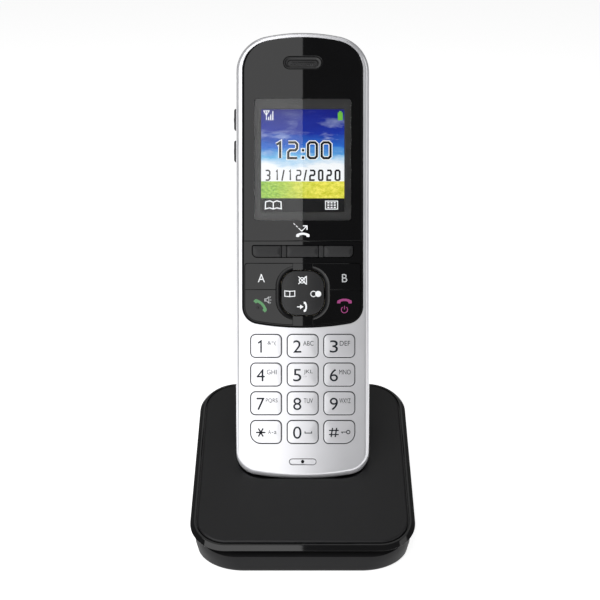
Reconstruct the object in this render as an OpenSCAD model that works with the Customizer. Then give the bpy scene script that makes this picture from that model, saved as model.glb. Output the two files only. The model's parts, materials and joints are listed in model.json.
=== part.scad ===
// Cordless telephone handset standing in its charging base, in millimetres.
// Origin: centre of the base's footprint, on the surface that it stands on.
// +X is the viewer's right, +Y points to the back and +Z is up.
// The handset leans back in the base, and the base's top plate rises towards the back.

/* [Handset] */
// Width of the handset
handset_w = 46.6; // [45:0.2:48]
// Length of the handset
handset_l = 156; // [154:1:160]
// Thickness of the handset
handset_t = 25; // [25:0.5:27]
// Depth of the front housing, up to the parting line
parting = 12.5; // [12:0.1:13]
// Thickness of the handset's walls
wall = 1.8; // [1.6:0.1:2]
// Radius of the arched top edge
top_arc = 63; // [60:1:70]
// Radius of the two top corners
top_corner = 13; // [12:0.5:14]
// Radius of the arched bottom edge
bottom_arc = 94; // [90:1:100]
// Radius of the two bottom corners
bottom_corner = 8; // [7.8:0.1:9]

/* [Front panel] */
// Half the width of the glossy panel
panel_half = 20.5; // [20:0.1:21]
// Top edge of the glossy panel
panel_top = 156.4; // [156:0.1:156.8]
// Line between the display lens and the function keys
lens_bottom = 85.1; // [84.6:0.1:85.4]
// Bottom edge of the glossy panel
panel_bottom = 55.5; // [55:0.1:56]
// Thickness of the lens and the bezel
panel_t = 1.7; // [1.5:0.1:1.7]
// Width of the display's window
window_w = 33.8; // [33:0.2:34]
// Height of the display's window
window_h = 42.5; // [42:0.5:43]
// Height of the middle of the window
window_z = 113.5; // [113:0.1:114]

/* [Keys] */
// Distance from one column of digit keys to the next
key_pitch_x = 12.75; // [12.6:0.05:12.9]
// Distance from one row of digit keys to the next
key_pitch_z = 10; // [9.8:0.1:10.1]
// Width of a digit key
key_w = 10.9; // [10.5:0.1:11]
// Height of a digit key
key_h = 8.15; // [7.9:0.05:8.3]
// Height of the lowest row of digit keys
first_row_z = 18.6; // [18.4:0.1:18.8]
// Gap round a key
key_gap = 0.2; // [0.15:0.05:0.25]
// How far a digit key stands proud of the housing
key_proud = 0.5; // [0.3:0.1:0.6]
// How far a key travels
key_travel = 0.4; // [0.3:0.1:0.5]
// Height of the middle of the navigation key
nav_z = 67; // [66.8:0.1:67.2]

/* [Base] */
// Width of the base
base_w = 76; // [75:0.5:78]
// Slope of the base's top plate
plate_slope = 20; // [19:0.5:21]
// Backward lean of the handset
lean = 20; // [19:0.5:21]
// Top plate's length in front of the handset
plate_front = 30.8; // [30:0.2:32]
// Top plate's length from the handset's front face to the rear edge
plate_rear = 48.3; // [48:0.1:49]
// Distance from the origin to the handset's front face, along Y
dock_y = -8; // [-8.4:0.1:-7.6]
// Height at which the handset's front face meets the top plate
dock_z = 20.5; // [20:0.1:21]
// Depth of the cradle at the handset's front face
cradle_lip = 1; // [0.8:0.1:1.4]
// Clearance between the handset and the cradle
cradle_gap = 0.7; // [0.6:0.1:0.9]
// Width of the glossy rim round the top plate
rim_w = 2.1; // [2:0.1:2.3]
// Width of the standing face
floor_w = 71.8; // [71:0.2:72]
// Depth of the standing face
floor_d = 71.4; // [71:0.2:72]
// Thickness of the bottom shell's floor and walls
shell_t = 2; // [1.8:0.1:2.2]

/* [Sockets] */
// Distance of each rear socket from the middle
socket_x = 13; // [12.6:0.1:13.2]
// Width of the line plug's opening
line_w = 9.8; // [9.6:0.1:10]
// Height of the line plug's opening
line_h = 6.8; // [6.6:0.1:7]
// Bore of the power socket
power_bore = 5.8; // [5.6:0.1:6]
// Diameter of the power socket's centre pin
power_pin = 2.1; // [1.9:0.1:2.1]

/* [Hidden] */

// Overshoot of a cut or a joint within one piece, and thickness of one layer of a blended form
eps = 0.01;
slice = 0.05;

// Handset: its heights are measured from a datum this far below its bottom edge
handset_z0 = 2;

// Handset: the datum on its front face, in the base's frame
foot_y = dock_y - (cradle_lip + handset_z0) * sin(lean);
foot_z = dock_z - (cradle_lip + handset_z0) * cos(lean);

// Handset: half width, and the depths of the layers behind its front face
handset_half = handset_w / 2;
recess = panel_t + 0.1;
panel_back = recess + 1.6;
mat_y = 5.2;
mat_t = 0.8;
dome_y = 6.6;
pcb_y = 7.2;
pcb_t = 1.2;
stem_end = dome_y - key_travel - 0.1;

// Handset: positions of the screws, as [x, z]
screw_spots = [[-12, 9], [12, 9], [-15.5, 146.5], [15.5, 146.5]];
screw_head_y = 15;

// Handset: earpiece, microphone and ringer
ear_z = 147.3;
ear_w = 13.8;
ear_h = 4.6;
mic_z = 8.2;
ringer_z = 118;

// Handset: battery compartment and two AAA cells
cell_r = 5.25;
cell_l = 44.5;
cell_x = 5.9;
cell_y = 17.4;
cell_z = 47;
tray_half = 12.2;
tray_z0 = 43.4;
tray_z1 = 92.4;
tray_y = 12;
cover_half = 15;
cover_z0 = 40;
cover_z1 = 97;
cover_t = 1.6;
cover_gap = 0.15;

// Handset: charging pads under the bottom edge
pad_x = 9;
pad_y = 17;
pad_z = handset_z0 + 0.9;

// Function keys: softkeys, then the keys on both sides of the navigation key
softkey_x = 12.45;
softkey_z = 81.5;
softkey_h = 3.95;
side_key_border = 0.6;
side_key_split = 68.2;
side_key_z1 = 77.3;
side_stem_z = [62.7, 72.6];
bridge_half = 3.4;
ring_half = 9.3;
ring_depth = 1;
nav_w = 15;
nav_h = 15.6;
nav_gap = 0.3;
nav_axis_y = 4.6;

// Volume keys on the left side, as the height of each one's middle
volume_z = [128.4, 117.2];
volume_y = 7.5;
volume_l = 7.7;
volume_w = 3.2;

// Base: depths below the top plate's face
rim_bottom = -2.1;
shell_top = -4.1;
neck_inset = 4.6;
boss_spots = [[-27, -23], [27, -23], [-28, 26], [28, 26]];
boss_end = 6;
foot_spots = [[-16, -27.5], [16, -27.5], [-16, 27.5], [16, 27.5]];
base_pcb_z = 3.5;
board_top = base_pcb_z + 1.6;
socket_face = 36.2;
socket_z = 11.6;
button_z = 21;

// ---------- Helpers ----------

// Points along an arc; last = false leaves out the end point, where the next arc starts.
function arc(cx, cz, r, a0, a1, n, last = true) =
    [for (i = [0 : last ? n : n - 1]) let (a = a0 + (a1 - a0) * i / n) [cx + r * cos(a), cz + r * sin(a)]];

// An upright outline with arched ends and round corners, pulled in by inset.
function arched(half, z0, z1, arc1, r1, arc0, r0, inset = 0) =
    let (cx1 = half - r1,
         cx0 = half - r0,
         a1 = asin(cx1 / (arc1 - r1)),
         a0 = asin(cx0 / (arc0 - r0)),
         cz1 = z1 - arc1 + (arc1 - r1) * cos(a1),
         cz0 = z0 + arc0 - (arc0 - r0) * cos(a0))
    concat(
        arc(0, z1 - arc1, arc1 - inset, 90 - a1, 90 + a1, 6, false),
        arc(-cx1, cz1, r1 - inset, 90 + a1, 180, 8),
        arc(-cx0, cz0, r0 - inset, 180, 270 - a0, 8, false),
        arc(0, z0 + arc0, arc0 - inset, 270 - a0, 270 + a0, 6, false),
        arc(cx0, cz0, r0 - inset, 270 + a0, 360, 8),
        arc(cx1, cz1, r1 - inset, 0, 90 - a1, 8, false));

// A rounded rectangle from its low and high corner; radii are bottom left, bottom right,
// top right and top left.
function rounded(x0, z0, x1, z1, radii, n = 5) =
    concat(
        arc(x0 + radii[0], z0 + radii[0], radii[0], 180, 270, n),
        arc(x1 - radii[1], z0 + radii[1], radii[1], 270, 360, n),
        arc(x1 - radii[2], z1 - radii[2], radii[2], 0, 90, n),
        arc(x0 + radii[3], z1 - radii[3], radii[3], 90, 180, n));

function handset_points(inset) =
    arched(handset_half, handset_z0, handset_z0 + handset_l,
           top_arc, top_corner, bottom_arc, bottom_corner, inset);

function panel_points(inset) =
    arched(panel_half, panel_bottom, panel_top, top_arc - 2, top_corner - 2, bottom_arc, 5.5, inset);

// The top plate's outline, along X and up its slope, pulled in by inset.
function plate_points(inset) =
    rounded(-base_w / 2 + inset, -plate_front + inset, base_w / 2 - inset, plate_rear - inset,
            [12.4 - inset, 12.4 - inset, 13.9 - inset, 13.9 - inset], 8);

// The bottom shell's outline at one height, grown outwards from the standing face.
function shell_points(grow, front, rear, corner) =
    rounded(-floor_w / 2 - grow, -floor_d / 2 - front, floor_w / 2 + grow, floor_d / 2 + rear,
            [corner, corner, corner, corner], 8);

module in_handset() {
    translate([0, foot_y, foot_z]) rotate([-lean, 0, 0]) children();
}

module in_plate() {
    translate([0, dock_y, dock_z]) rotate([plate_slope, 0, 0]) children();
}

// Extrudes an upright outline from depth y0 to depth y1.
module slab(y0, y1) {
    translate([0, y1, 0]) rotate([90, 0, 0]) linear_extrude(y1 - y0) children();
}

module box(x0, y0, z0, x1, y1, z1) {
    translate([x0, y0, z0]) cube([x1 - x0, y1 - y0, z1 - z0]);
}

// A cylinder along the depth, from y0 to y1, at [x, z].
module peg(x, z, r, y0, y1) {
    translate([x, y1, z]) rotate([90, 0, 0]) cylinder(r = r, h = y1 - y0, $fn = 32);
}

module stadium(w, h) {
    square([w - h, h], center = true);
    for (s = [-1, 1]) translate([s * (w - h) / 2, 0]) circle(d = h, $fn = 32);
}

// Everything above a plane that is parallel to the top plate.
module above_plate(level) {
    in_plate() translate([-60, -100, level]) cube([120, 260, 260]);
}

// ---------- Handset: casings ----------

module front_form() {
    hull() {
        slab(0, slice) polygon(handset_points(1.6));
        slab(0.25, 0.25 + slice) polygon(handset_points(0.75));
        slab(0.8, 0.8 + slice) polygon(handset_points(0.2));
        slab(1.8, parting) polygon(handset_points(0));
    }
}

module rear_form() {
    hull() {
        slab(parting, 19) polygon(handset_points(0));
        slab(22, 22 + slice) polygon(handset_points(0.9));
        slab(24, 24 + slice) polygon(handset_points(3.4));
        slab(handset_t - slice, handset_t) polygon(handset_points(7.4));
    }
}

module softkey_windows(gap) {
    for (i = [0 : 2]) polygon(softkey_points(i, gap));
}

module handset_front_housing() color("silver") in_handset() {
    difference() {
        front_form();
        slab(wall, parting + eps) intersection() {
            polygon(handset_points(wall));
            translate([-40, -5]) square([80, panel_bottom + 5 - wall]);
        }
        slab(panel_back, parting + eps) intersection() {
            polygon(handset_points(wall));
            translate([-40, panel_bottom - wall - eps]) square([80, 120]);
        }
        slab(-eps, recess) polygon(panel_points(-0.1));
        slab(-eps, 4) {
            for (row = [0 : 3], col = [0 : 2]) polygon(digit_points(row, col, key_gap));
            softkey_windows(key_gap);
            for (side = [-1, 1], upper = [false, true]) side_key_outline(side, upper, key_gap);
            polygon(nav_points(nav_gap));
            translate([-window_w / 2 - 0.1, window_z - window_h / 2 - 0.1])
                square([window_w + 0.2, window_h + 0.2]);
            translate([0, ear_z]) stadium(10, 2.4);
        }
        slab(-eps, 0.4) translate([0, mic_z]) stadium(9, 1.7);
        peg(0, mic_z, 0.6, -eps, 4);
        for (z = volume_z)
            box(-30, volume_y - volume_w / 2 - key_gap, z - volume_l / 2 - key_gap,
                -handset_half + wall + eps, volume_y + volume_w / 2 + key_gap, z + volume_l / 2 + key_gap);
    }
    for (spot = screw_spots) difference() {
        peg(spot[0], spot[1], 2.3, wall - eps, parting);
        peg(spot[0], spot[1], 1, 5, parting + eps);
    }
    for (s = [-1, 1]) nav_lug(s);
}

// A lug behind the panel that carries one pin of the navigation key's rocker.
module nav_lug(side) {
    z0 = nav_z + side * 9.4;
    difference() {
        box(-1.3, panel_back - eps, z0 - 0.7, 1.3, nav_axis_y + 0.9, z0 + 0.7);
        translate([0, nav_axis_y, z0]) cylinder(r = 0.6, h = 4, center = true, $fn = 24);
    }
}

module rear_boss(spot) {
    peg(spot[0], spot[1], 3.4, parting, handset_t - 1.6);
}

module handset_rear_housing() color([0.13, 0.13, 0.14]) in_handset() {
    difference() {
        union() {
            difference() {
                rear_form();
                slab(parting - eps, 19.5) polygon(handset_points(wall));
                slab(19.4, 21.6) polygon(handset_points(3.6));
            }
            box(-tray_half - 1.2, tray_y - 1.1, tray_z0 - 1.2, tray_half + 1.2, 23, tray_z1 + 1.2);
            intersection() {
                union() for (spot = screw_spots) rear_boss(spot);
                rear_form();
            }
        }
        box(-tray_half, tray_y, tray_z0, tray_half, 26, tray_z1);
        box(-cover_half - cover_gap, handset_t - cover_t - cover_gap, cover_z0 - cover_gap,
            cover_half + cover_gap, 27, cover_z1 + cover_gap);
        for (spot = screw_spots) {
            peg(spot[0], spot[1], 2.2, screw_head_y, 26);
            peg(spot[0], spot[1], 1.2, parting - 1, 16);
        }
        for (row = [-2 : 2]) slab(20, 26)
            translate([0, ringer_z + row * 2.2]) stadium(11 - 2 * abs(row), 1.1);
        for (s = [-1, 1]) {
            box(s * pad_x - 2.3, pad_y - 2.3, 0, s * pad_x + 2.3, pad_y + 2.3, pad_z);
            box(s * pad_x - 1.9, pad_y - 1.9, handset_z0, s * pad_x + 1.9, pad_y + 1.9, pad_z + 3);
        }
    }
}

// Clips on over the two cells and pulls straight off the back.
module battery_cover() color([0.13, 0.13, 0.14]) in_handset() {
    y0 = handset_t - cover_t;
    difference() {
        slab(y0, handset_t) polygon(rounded(-cover_half, cover_z0, cover_half, cover_z1, [3, 3, 3, 3]));
        for (i = [-3 : 3]) box(-6, handset_t - 0.4, 89 + i * 1.4, 6, 26, 89.7 + i * 1.4);
    }
    for (s = [-1, 1], z = [55, 82]) box(s * 11.6 - 0.35, 19.6, z - 3, s * 11.6 + 0.35, y0 + eps, z + 3);
}

module handset_screws() color("gray") in_handset() {
    for (spot = screw_spots) {
        peg(spot[0], spot[1], 0.98, 5.4, screw_head_y + eps);
        difference() {
            peg(spot[0], spot[1], 1.9, screw_head_y, screw_head_y + 1.5);
            for (a = [0, 90]) translate([spot[0], screw_head_y + 1.5, spot[1]]) rotate([0, a, 0])
                cube([2.2, 1.4, 0.5], center = true);
        }
    }
}

// ---------- Handset: front panel ----------

module display_lens() color([0.07, 0.07, 0.08]) in_handset() {
    difference() {
        slab(0, panel_t) intersection() {
            polygon(panel_points(0));
            translate([-40, lens_bottom + 0.06]) square([80, 90]);
        }
        slab(-eps, 3) translate([0, ear_z]) stadium(ear_w + 0.1, ear_h + 0.1);
    }
}

// Black panel round the softkeys, the side keys and the navigation key.
module function_bezel() color([0.07, 0.07, 0.08]) in_handset() {
    difference() {
        slab(0, panel_t) intersection() {
            polygon(panel_points(0));
            translate([-40, 0]) square([80, lens_bottom - 0.06]);
        }
        slab(-eps, 3) {
            softkey_windows(key_gap);
            for (side = [-1, 1], upper = [false, true]) side_key_outline(side, upper, key_gap);
            polygon(nav_points(nav_gap));
        }
        slab(-eps, ring_depth) difference() {
            polygon(ring_points(0));
            translate([-bridge_half, nav_z - 20]) square([2 * bridge_half, 40]);
        }
    }
}

module earpiece_grille() color([0.2, 0.2, 0.21]) in_handset() {
    difference() {
        slab(0.4, panel_t) translate([0, ear_z]) stadium(ear_w, ear_h);
        slab(0, 1.1) translate([0, ear_z]) stadium(ear_w - 3, ear_h - 2);
        for (i = [-3 : 3]) peg(i * 1.3, ear_z, 0.4, 0, 3);
    }
}

// ---------- Handset: keys ----------

function key_corner(row, col) = row == 0 && col != 1 ? 3.7 : 1.8;

// Rows count from the bottom and columns from the left.
function digit_points(row, col, grow) =
    let (x = (col - 1) * key_pitch_x,
         z = first_row_z + row * key_pitch_z,
         left = col == 0 ? key_corner(row, col) : 1.8,
         right = col == 2 ? key_corner(row, col) : 1.8)
    rounded(x - key_w / 2 - grow, z - key_h / 2 - grow, x + key_w / 2 + grow, z + key_h / 2 + grow,
            [left + grow, right + grow, 1.8 + grow, 1.8 + grow]);

module digit_key(row, col) color("silver") in_handset() {
    x = (col - 1) * key_pitch_x;
    z = first_row_z + row * key_pitch_z;
    hull() {
        slab(-key_proud, -key_proud + slice) polygon(digit_points(row, col, -0.5));
        slab(-key_proud + 0.3, wall + 0.3) polygon(digit_points(row, col, 0));
    }
    slab(wall + 0.2, wall + 1) polygon(digit_points(row, col, 0.5));
    peg(x, z, 1.3, wall + 1 - eps, stem_end);
}

module key_star() { digit_key(0, 0); }
module key_0() { digit_key(0, 1); }
module key_hash() { digit_key(0, 2); }
module key_7() { digit_key(1, 0); }
module key_8() { digit_key(1, 1); }
module key_9() { digit_key(1, 2); }
module key_4() { digit_key(2, 0); }
module key_5() { digit_key(2, 1); }
module key_6() { digit_key(2, 2); }
module key_1() { digit_key(3, 0); }
module key_2() { digit_key(3, 1); }
module key_3() { digit_key(3, 2); }

function softkey_half(i) = i == 1 ? 5.55 : 5.05;

// Softkeys 0, 1 and 2 from left to right; the outer ones have a larger bottom corner outside.
function softkey_points(i, grow) =
    let (x = (i - 1) * softkey_x, half = softkey_half(i))
    rounded(x - half - grow, softkey_z - softkey_h / 2 - grow,
            x + half + grow, softkey_z + softkey_h / 2 + grow,
            [i == 0 ? 1.7 : 0.5, i == 2 ? 1.7 : 0.5, 0.5, 0.5]);

module softkey(i) color([0.25, 0.25, 0.26]) in_handset() {
    x = (i - 1) * softkey_x;
    hull() {
        slab(-0.25, -0.25 + slice) polygon(softkey_points(i, -0.3));
        slab(0, panel_back + 0.3) polygon(softkey_points(i, 0));
    }
    slab(panel_back + 0.2, panel_back + 0.9) polygon(softkey_points(i, 0.4));
    peg(x, softkey_z, 1.2, panel_back + 0.8, stem_end);
}

module softkey_left() { softkey(0); }
module softkey_middle() { softkey(1); }
module softkey_right() { softkey(2); }

// The face of a key beside the navigation key: side is -1 or 1, and its inner edge follows the ring.
module side_key_outline(side, upper, grow) {
    z0 = upper ? side_key_split + 0.15 : panel_bottom - 1;
    z1 = upper ? side_key_z1 : side_key_split - 0.15;
    x0 = side < 0 ? -panel_half : bridge_half + 0.2;
    grow_z = min(grow, 0.1);
    difference() {
        intersection() {
            polygon(panel_points(side_key_border - grow));
            translate([x0 - grow, z0 - grow_z])
                square([panel_half - bridge_half - 0.2 + 2 * grow, z1 - z0 + 2 * grow_z]);
        }
        polygon(ring_points(0.1 - grow));
    }
}

module side_key(side, upper) color([0.07, 0.07, 0.08]) in_handset() {
    z = side_stem_z[upper ? 1 : 0];
    x0 = side < 0 ? -20.4 : 19.8;
    slab(0, panel_back + 0.9) side_key_outline(side, upper, 0);
    box(x0, panel_back + 0.2, z - 2, x0 + 0.6, panel_back + 0.9, z + 2);
    peg(side * 14.6, z, 1.3, panel_back + 0.8, stem_end);
}

module key_a() { side_key(-1, true); }
module key_talk() { side_key(-1, false); }
module key_b() { side_key(1, true); }
module key_off() { side_key(1, false); }

function nav_points(grow) =
    rounded(-nav_w / 2 - grow, nav_z - nav_h / 2 - grow, nav_w / 2 + grow, nav_z + nav_h / 2 + grow,
            [4.8, 4.8, 4.8, 4.8]);

// Outer edge of the groove round the navigation key.
function ring_points(grow) =
    rounded(-ring_half - grow, nav_z - ring_half - grow, ring_half + grow, nav_z + ring_half + grow,
            [7, 7, 7, 7]);

// Rocker ring behind the navigation key. It tilts on two pins in the housing's lugs.
module nav_pivot() color("dimgray") in_handset() {
    difference() {
        translate([0, nav_axis_y, nav_z]) rotate([90, 0, 0])
            difference() {
                cylinder(r = 7.9, h = 1.6, center = true, $fn = 64);
                cylinder(r = 5.4, h = 3, center = true, $fn = 48);
            }
        translate([0, nav_axis_y, nav_z]) rotate([0, 90, 0])
            cylinder(r = 0.6, h = 20, center = true, $fn = 24);
    }
    for (s = [-1, 1]) translate([0, nav_axis_y, nav_z + s * 8.7])
        cylinder(r = 0.42, h = 2.6, center = true, $fn = 24);
}

// Four-way key. It tilts on its own two pins, in the rocker ring.
module nav_key() color([0.25, 0.25, 0.26]) in_handset() {
    hull() {
        slab(-0.2, -0.2 + slice) polygon(nav_points(-0.7));
        slab(0.1, panel_t) polygon(nav_points(0));
    }
    peg(0, nav_z, 2.4, panel_t - eps, nav_axis_y + 0.9);
    for (a = [0 : 90 : 270]) peg(3.9 * cos(a), nav_z + 3.9 * sin(a), 0.8, panel_t - eps, 6.2);
    translate([0, nav_axis_y, nav_z]) rotate([0, 90, 0])
        cylinder(r = 0.42, h = 14.4, center = true, $fn = 24);
}

module volume_key(i) color([0.1, 0.1, 0.11]) in_handset() {
    z = volume_z[i];
    hull() {
        box(-24.3, volume_y - volume_w / 2 + 0.5, z - volume_l / 2 + 0.5,
            -23, volume_y + volume_w / 2 - 0.5, z + volume_l / 2 - 0.5);
        box(-23.9, volume_y - volume_w / 2, z - volume_l / 2,
            -21.2, volume_y + volume_w / 2, z + volume_l / 2);
    }
    box(-21.3, volume_y - volume_w / 2 - 0.6, z - volume_l / 2 - 0.6,
        -20.6, volume_y + volume_w / 2 + 0.6, z + volume_l / 2 + 0.6);
}

module volume_up_key() { volume_key(0); }
module volume_down_key() { volume_key(1); }

// Small upright board with two click switches behind the volume keys.
module volume_switch_board() color("green") in_handset() {
    box(-19.4, 5.2, volume_z[1] - 6, -18.4, 10.4, volume_z[0] + 6);
    for (z = volume_z) box(-20, volume_y - 1.4, z - 1.8, -19.4 + eps, volume_y + 1.4, z + 1.8);
}

// ---------- Handset: inside ----------

module stem_holes(r) {
    for (row = [0 : 3], col = [0 : 2])
        translate([(col - 1) * key_pitch_x, first_row_z + row * key_pitch_z]) circle(r = r, $fn = 24);
    for (x = [-softkey_x, 0, softkey_x]) translate([x, softkey_z]) circle(r = r, $fn = 24);
    for (s = [-1, 1], z = side_stem_z) translate([s * 14.6, z]) circle(r = r, $fn = 24);
}

// Silicone sheet between the keys and the switches.
module keypad_mat() color("gainsboro") in_handset() {
    slab(mat_y, mat_y + mat_t) difference() {
        polygon(rounded(-18.6, 13.6, 18.6, 84.4, [4, 4, 1, 1]));
        stem_holes(1.9);
        translate([0, nav_z]) circle(r = 10.6, $fn = 64);
    }
}

// Snap domes on a thin sheet, one under each key and four under the navigation key.
module dome_sheet() color("lightyellow") in_handset() {
    slab(7, pcb_y) polygon(rounded(-18.6, 13.6, 18.6, 84.4, [4, 4, 1, 1]));
    spots = concat(
        [for (row = [0 : 3], col = [0 : 2]) [(col - 1) * key_pitch_x, first_row_z + row * key_pitch_z]],
        [for (x = [-softkey_x, 0, softkey_x]) [x, softkey_z]],
        [for (s = [-1, 1], z = side_stem_z) [s * 14.6, z]],
        [for (a = [0 : 90 : 270]) [3.9 * cos(a), nav_z + 3.9 * sin(a)]]);
    for (spot = spots) translate([spot[0], 7 + eps, spot[1]]) rotate([90, 0, 0])
        cylinder(r1 = 1.8, r2 = 0.9, h = 7 - dome_y, $fn = 24);
}

module handset_pcb() color("darkgreen") in_handset() {
    slab(pcb_y, pcb_y + pcb_t) difference() {
        polygon(rounded(-17.8, 13, 17.8, 138, [4, 4, 2, 2]));
        for (z = [35, 105]) translate([0, z]) circle(r = 1.1, $fn = 24);
    }
    box(-8, pcb_y + pcb_t - eps, 102, 4, pcb_y + pcb_t + 1.4, 114);
    box(7, pcb_y + pcb_t - eps, 104, 13, pcb_y + pcb_t + 1, 110);
    for (i = [0 : 4]) box(-12 + 5 * i, pcb_y + pcb_t - eps, 28, -9.5 + 5 * i, pcb_y + pcb_t + 0.7, 29.4);
}

module lcd_module() color([0.6, 0.75, 0.85]) in_handset() {
    half = window_w / 2 - 0.3;
    box(-half, 2.4, window_z - window_h / 2 + 0.3, half, 4, window_z + window_h / 2 - 0.3);
    box(-17.6, 4 - eps, 88, 17.6, 6.9, 137);
}

// Grey surround between the lens and the display.
module lcd_frame() color([0.2, 0.2, 0.22]) in_handset() {
    slab(recess, 2.3) difference() {
        translate([0, window_z]) square([window_w, window_h], center = true);
        translate([0, window_z - 0.1]) square([29.1, 36], center = true);
    }
}

module earpiece_speaker() color("dimgray") in_handset() {
    difference() {
        peg(0, ear_z - 1.5, 7.4, panel_back + 0.1, 7.6);
        peg(0, ear_z - 1.5, 5.6, panel_back, panel_back + 0.6);
    }
    peg(0, ear_z - 1.5, 4.6, 7.6 - eps, 9.4);
}

module ringer_speaker() color("dimgray") in_handset() {
    difference() {
        peg(0, ringer_z, 8.4, 17.6, 21.5);
        peg(0, ringer_z, 6.8, 20.6, 22);
    }
    peg(0, ringer_z, 5, 14.8, 17.6 + eps);
}

module microphone() color("silver") in_handset() {
    difference() {
        peg(0, mic_z, 2, wall + 0.1, 4.4);
        peg(0, mic_z, 0.5, wall, wall + 0.6);
    }
}

module cell(upright) {
    nub = 0.8;
    translate([0, cell_y, cell_z + (upright ? 0 : cell_l)]) mirror([0, 0, upright ? 0 : 1]) {
        cylinder(r = cell_r, h = cell_l - nub, $fn = 64);
        cylinder(r = 1.9, h = cell_l, $fn = 32);
    }
}

module battery_cell_left() color("seagreen") in_handset() { translate([-cell_x, 0, 0]) cell(true); }
module battery_cell_right() color("seagreen") in_handset() { translate([cell_x, 0, 0]) cell(false); }

// Sheet-metal plates at both ends of the cells, and a spring at each negative end.
module battery_contacts() color("lightgray") in_handset() {
    for (s = [-1, 1]) {
        box(s * cell_x - 4.5, 13.4, tray_z1 - 0.4, s * cell_x + 4.5, 21.4, tray_z1 - 0.02);
        box(s * cell_x - 4.5, 13.4, tray_z0 + 0.02, s * cell_x + 4.5, 21.4, tray_z0 + 0.4);
    }
    translate([-cell_x, cell_y, tray_z0 + 0.4]) contact_spring(cell_z - tray_z0 - 0.4);
    translate([cell_x, cell_y, cell_z + cell_l]) contact_spring(tray_z1 - 0.4 - cell_z - cell_l);
}

// Closed turns of a short coil spring, h high, standing on its plate.
module contact_spring(h) {
    turns = max(1, floor(h / 0.7));
    for (i = [0 : turns - 1]) translate([0, 0, (i + 0.5) * h / turns])
        rotate_extrude($fn = 32) translate([2.6, 0]) circle(r = h / turns / 2 + 0.005, $fn = 16);
}

// Flat plates in the bottom edge, with tails that lead up inside.
module handset_charge_contacts() color("gold") in_handset() {
    for (s = [-1, 1]) {
        box(s * pad_x - 1.8, pad_y - 1.8, pad_z + 0.05, s * pad_x + 1.8, pad_y + 1.8, pad_z + 0.45);
        box(s * pad_x - 1, pad_y - 1.8, pad_z + 0.4, s * pad_x + 1, pad_y - 1.4, pad_z + 2.9);
    }
}

module handset_antenna() color("goldenrod") in_handset() {
    box(-12, 10, 139.6, -11.2, 11.8, 152);
    box(-12, 10, 151.2, 10, 11.8, 152);
    box(9.2, 10, 145, 10, 11.8, 152);
}

// ---------- Base: casings ----------

module base_rim() color([0.07, 0.07, 0.08]) in_plate() {
    difference() {
        hull() {
            translate([0, 0, -0.55]) linear_extrude(slice) polygon(plate_points(1.3));
            translate([0, 0, -0.75]) linear_extrude(slice) polygon(plate_points(0.55));
            translate([0, 0, -1.1]) linear_extrude(slice) polygon(plate_points(0));
            translate([0, 0, rim_bottom + 0.3]) linear_extrude(slice) polygon(plate_points(0));
            translate([0, 0, rim_bottom]) linear_extrude(slice) polygon(plate_points(0.3));
        }
        translate([0, 0, -1.25]) linear_extrude(4) polygon(plate_points(rim_w));
        translate([0, 0, -5]) linear_extrude(8) polygon(plate_points(neck_inset - 0.2));
    }
}

module cradle_form(grow, y0, y1) {
    slab(y0, y1) polygon(handset_points(-grow));
}

module base_top_cover() color([0.16, 0.16, 0.16]) {
    difference() {
        union() {
            in_plate() hull() {
                translate([0, 0, -1.2]) linear_extrude(slice) polygon(plate_points(rim_w + 0.2));
                translate([0, 0, -0.5]) linear_extrude(slice) polygon(plate_points(rim_w + 0.35));
                translate([0, 0, -slice]) linear_extrude(slice) polygon(plate_points(rim_w + 1.4));
            }
            in_plate() translate([0, 0, -2.4]) linear_extrude(1.5) polygon(plate_points(neck_inset));
            in_plate() translate([0, 0, -7.5]) linear_extrude(6) difference() {
                polygon(plate_points(neck_inset + 0.9));
                polygon(plate_points(neck_inset + 2.5));
            }
            difference() {
                in_handset() cradle_form(cradle_gap + 1.5, -cradle_gap - 1.5, handset_t + cradle_gap + 1.5);
                above_plate(-0.5);
            }
            difference() {
                for (spot = boss_spots) translate([spot[0], spot[1], boss_end])
                    cylinder(r = 3, h = 40, $fn = 32);
                above_plate(-0.5);
            }
        }
        in_handset() difference() {
            cradle_form(cradle_gap, -cradle_gap, handset_t + cradle_gap);
            for (s = [-1, 1]) box(s * 4 - 1, 3, -1, s * 4 + 1, 22, handset_z0 - 0.15);
        }
        in_handset() for (s = [-1, 1])
            box(s * pad_x - 1.5, pad_y - 2.8, pad_z - 5.9, s * pad_x + 1.5, pad_y + 2.8, pad_z + 0.6);
        for (spot = boss_spots) translate([spot[0], spot[1], boss_end - 1])
            cylinder(r = 1.2, h = 6, $fn = 24);
    }
}

module shell_form(inset, lift) {
    hull() {
        translate([0, 0, lift]) linear_extrude(slice)
            polygon(shell_points(-inset, -inset, -inset, 16.3 - inset));
        translate([0, 0, 5]) linear_extrude(slice)
            polygon(shell_points(0.7 - inset, 0.5 - inset, 0.6 - inset, 14.4 - inset));
        translate([0, 0, 38]) linear_extrude(slice)
            polygon(shell_points(1.7 - inset, 1.2 - inset, 2 - inset, 13.4 - inset));
    }
}

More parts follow.
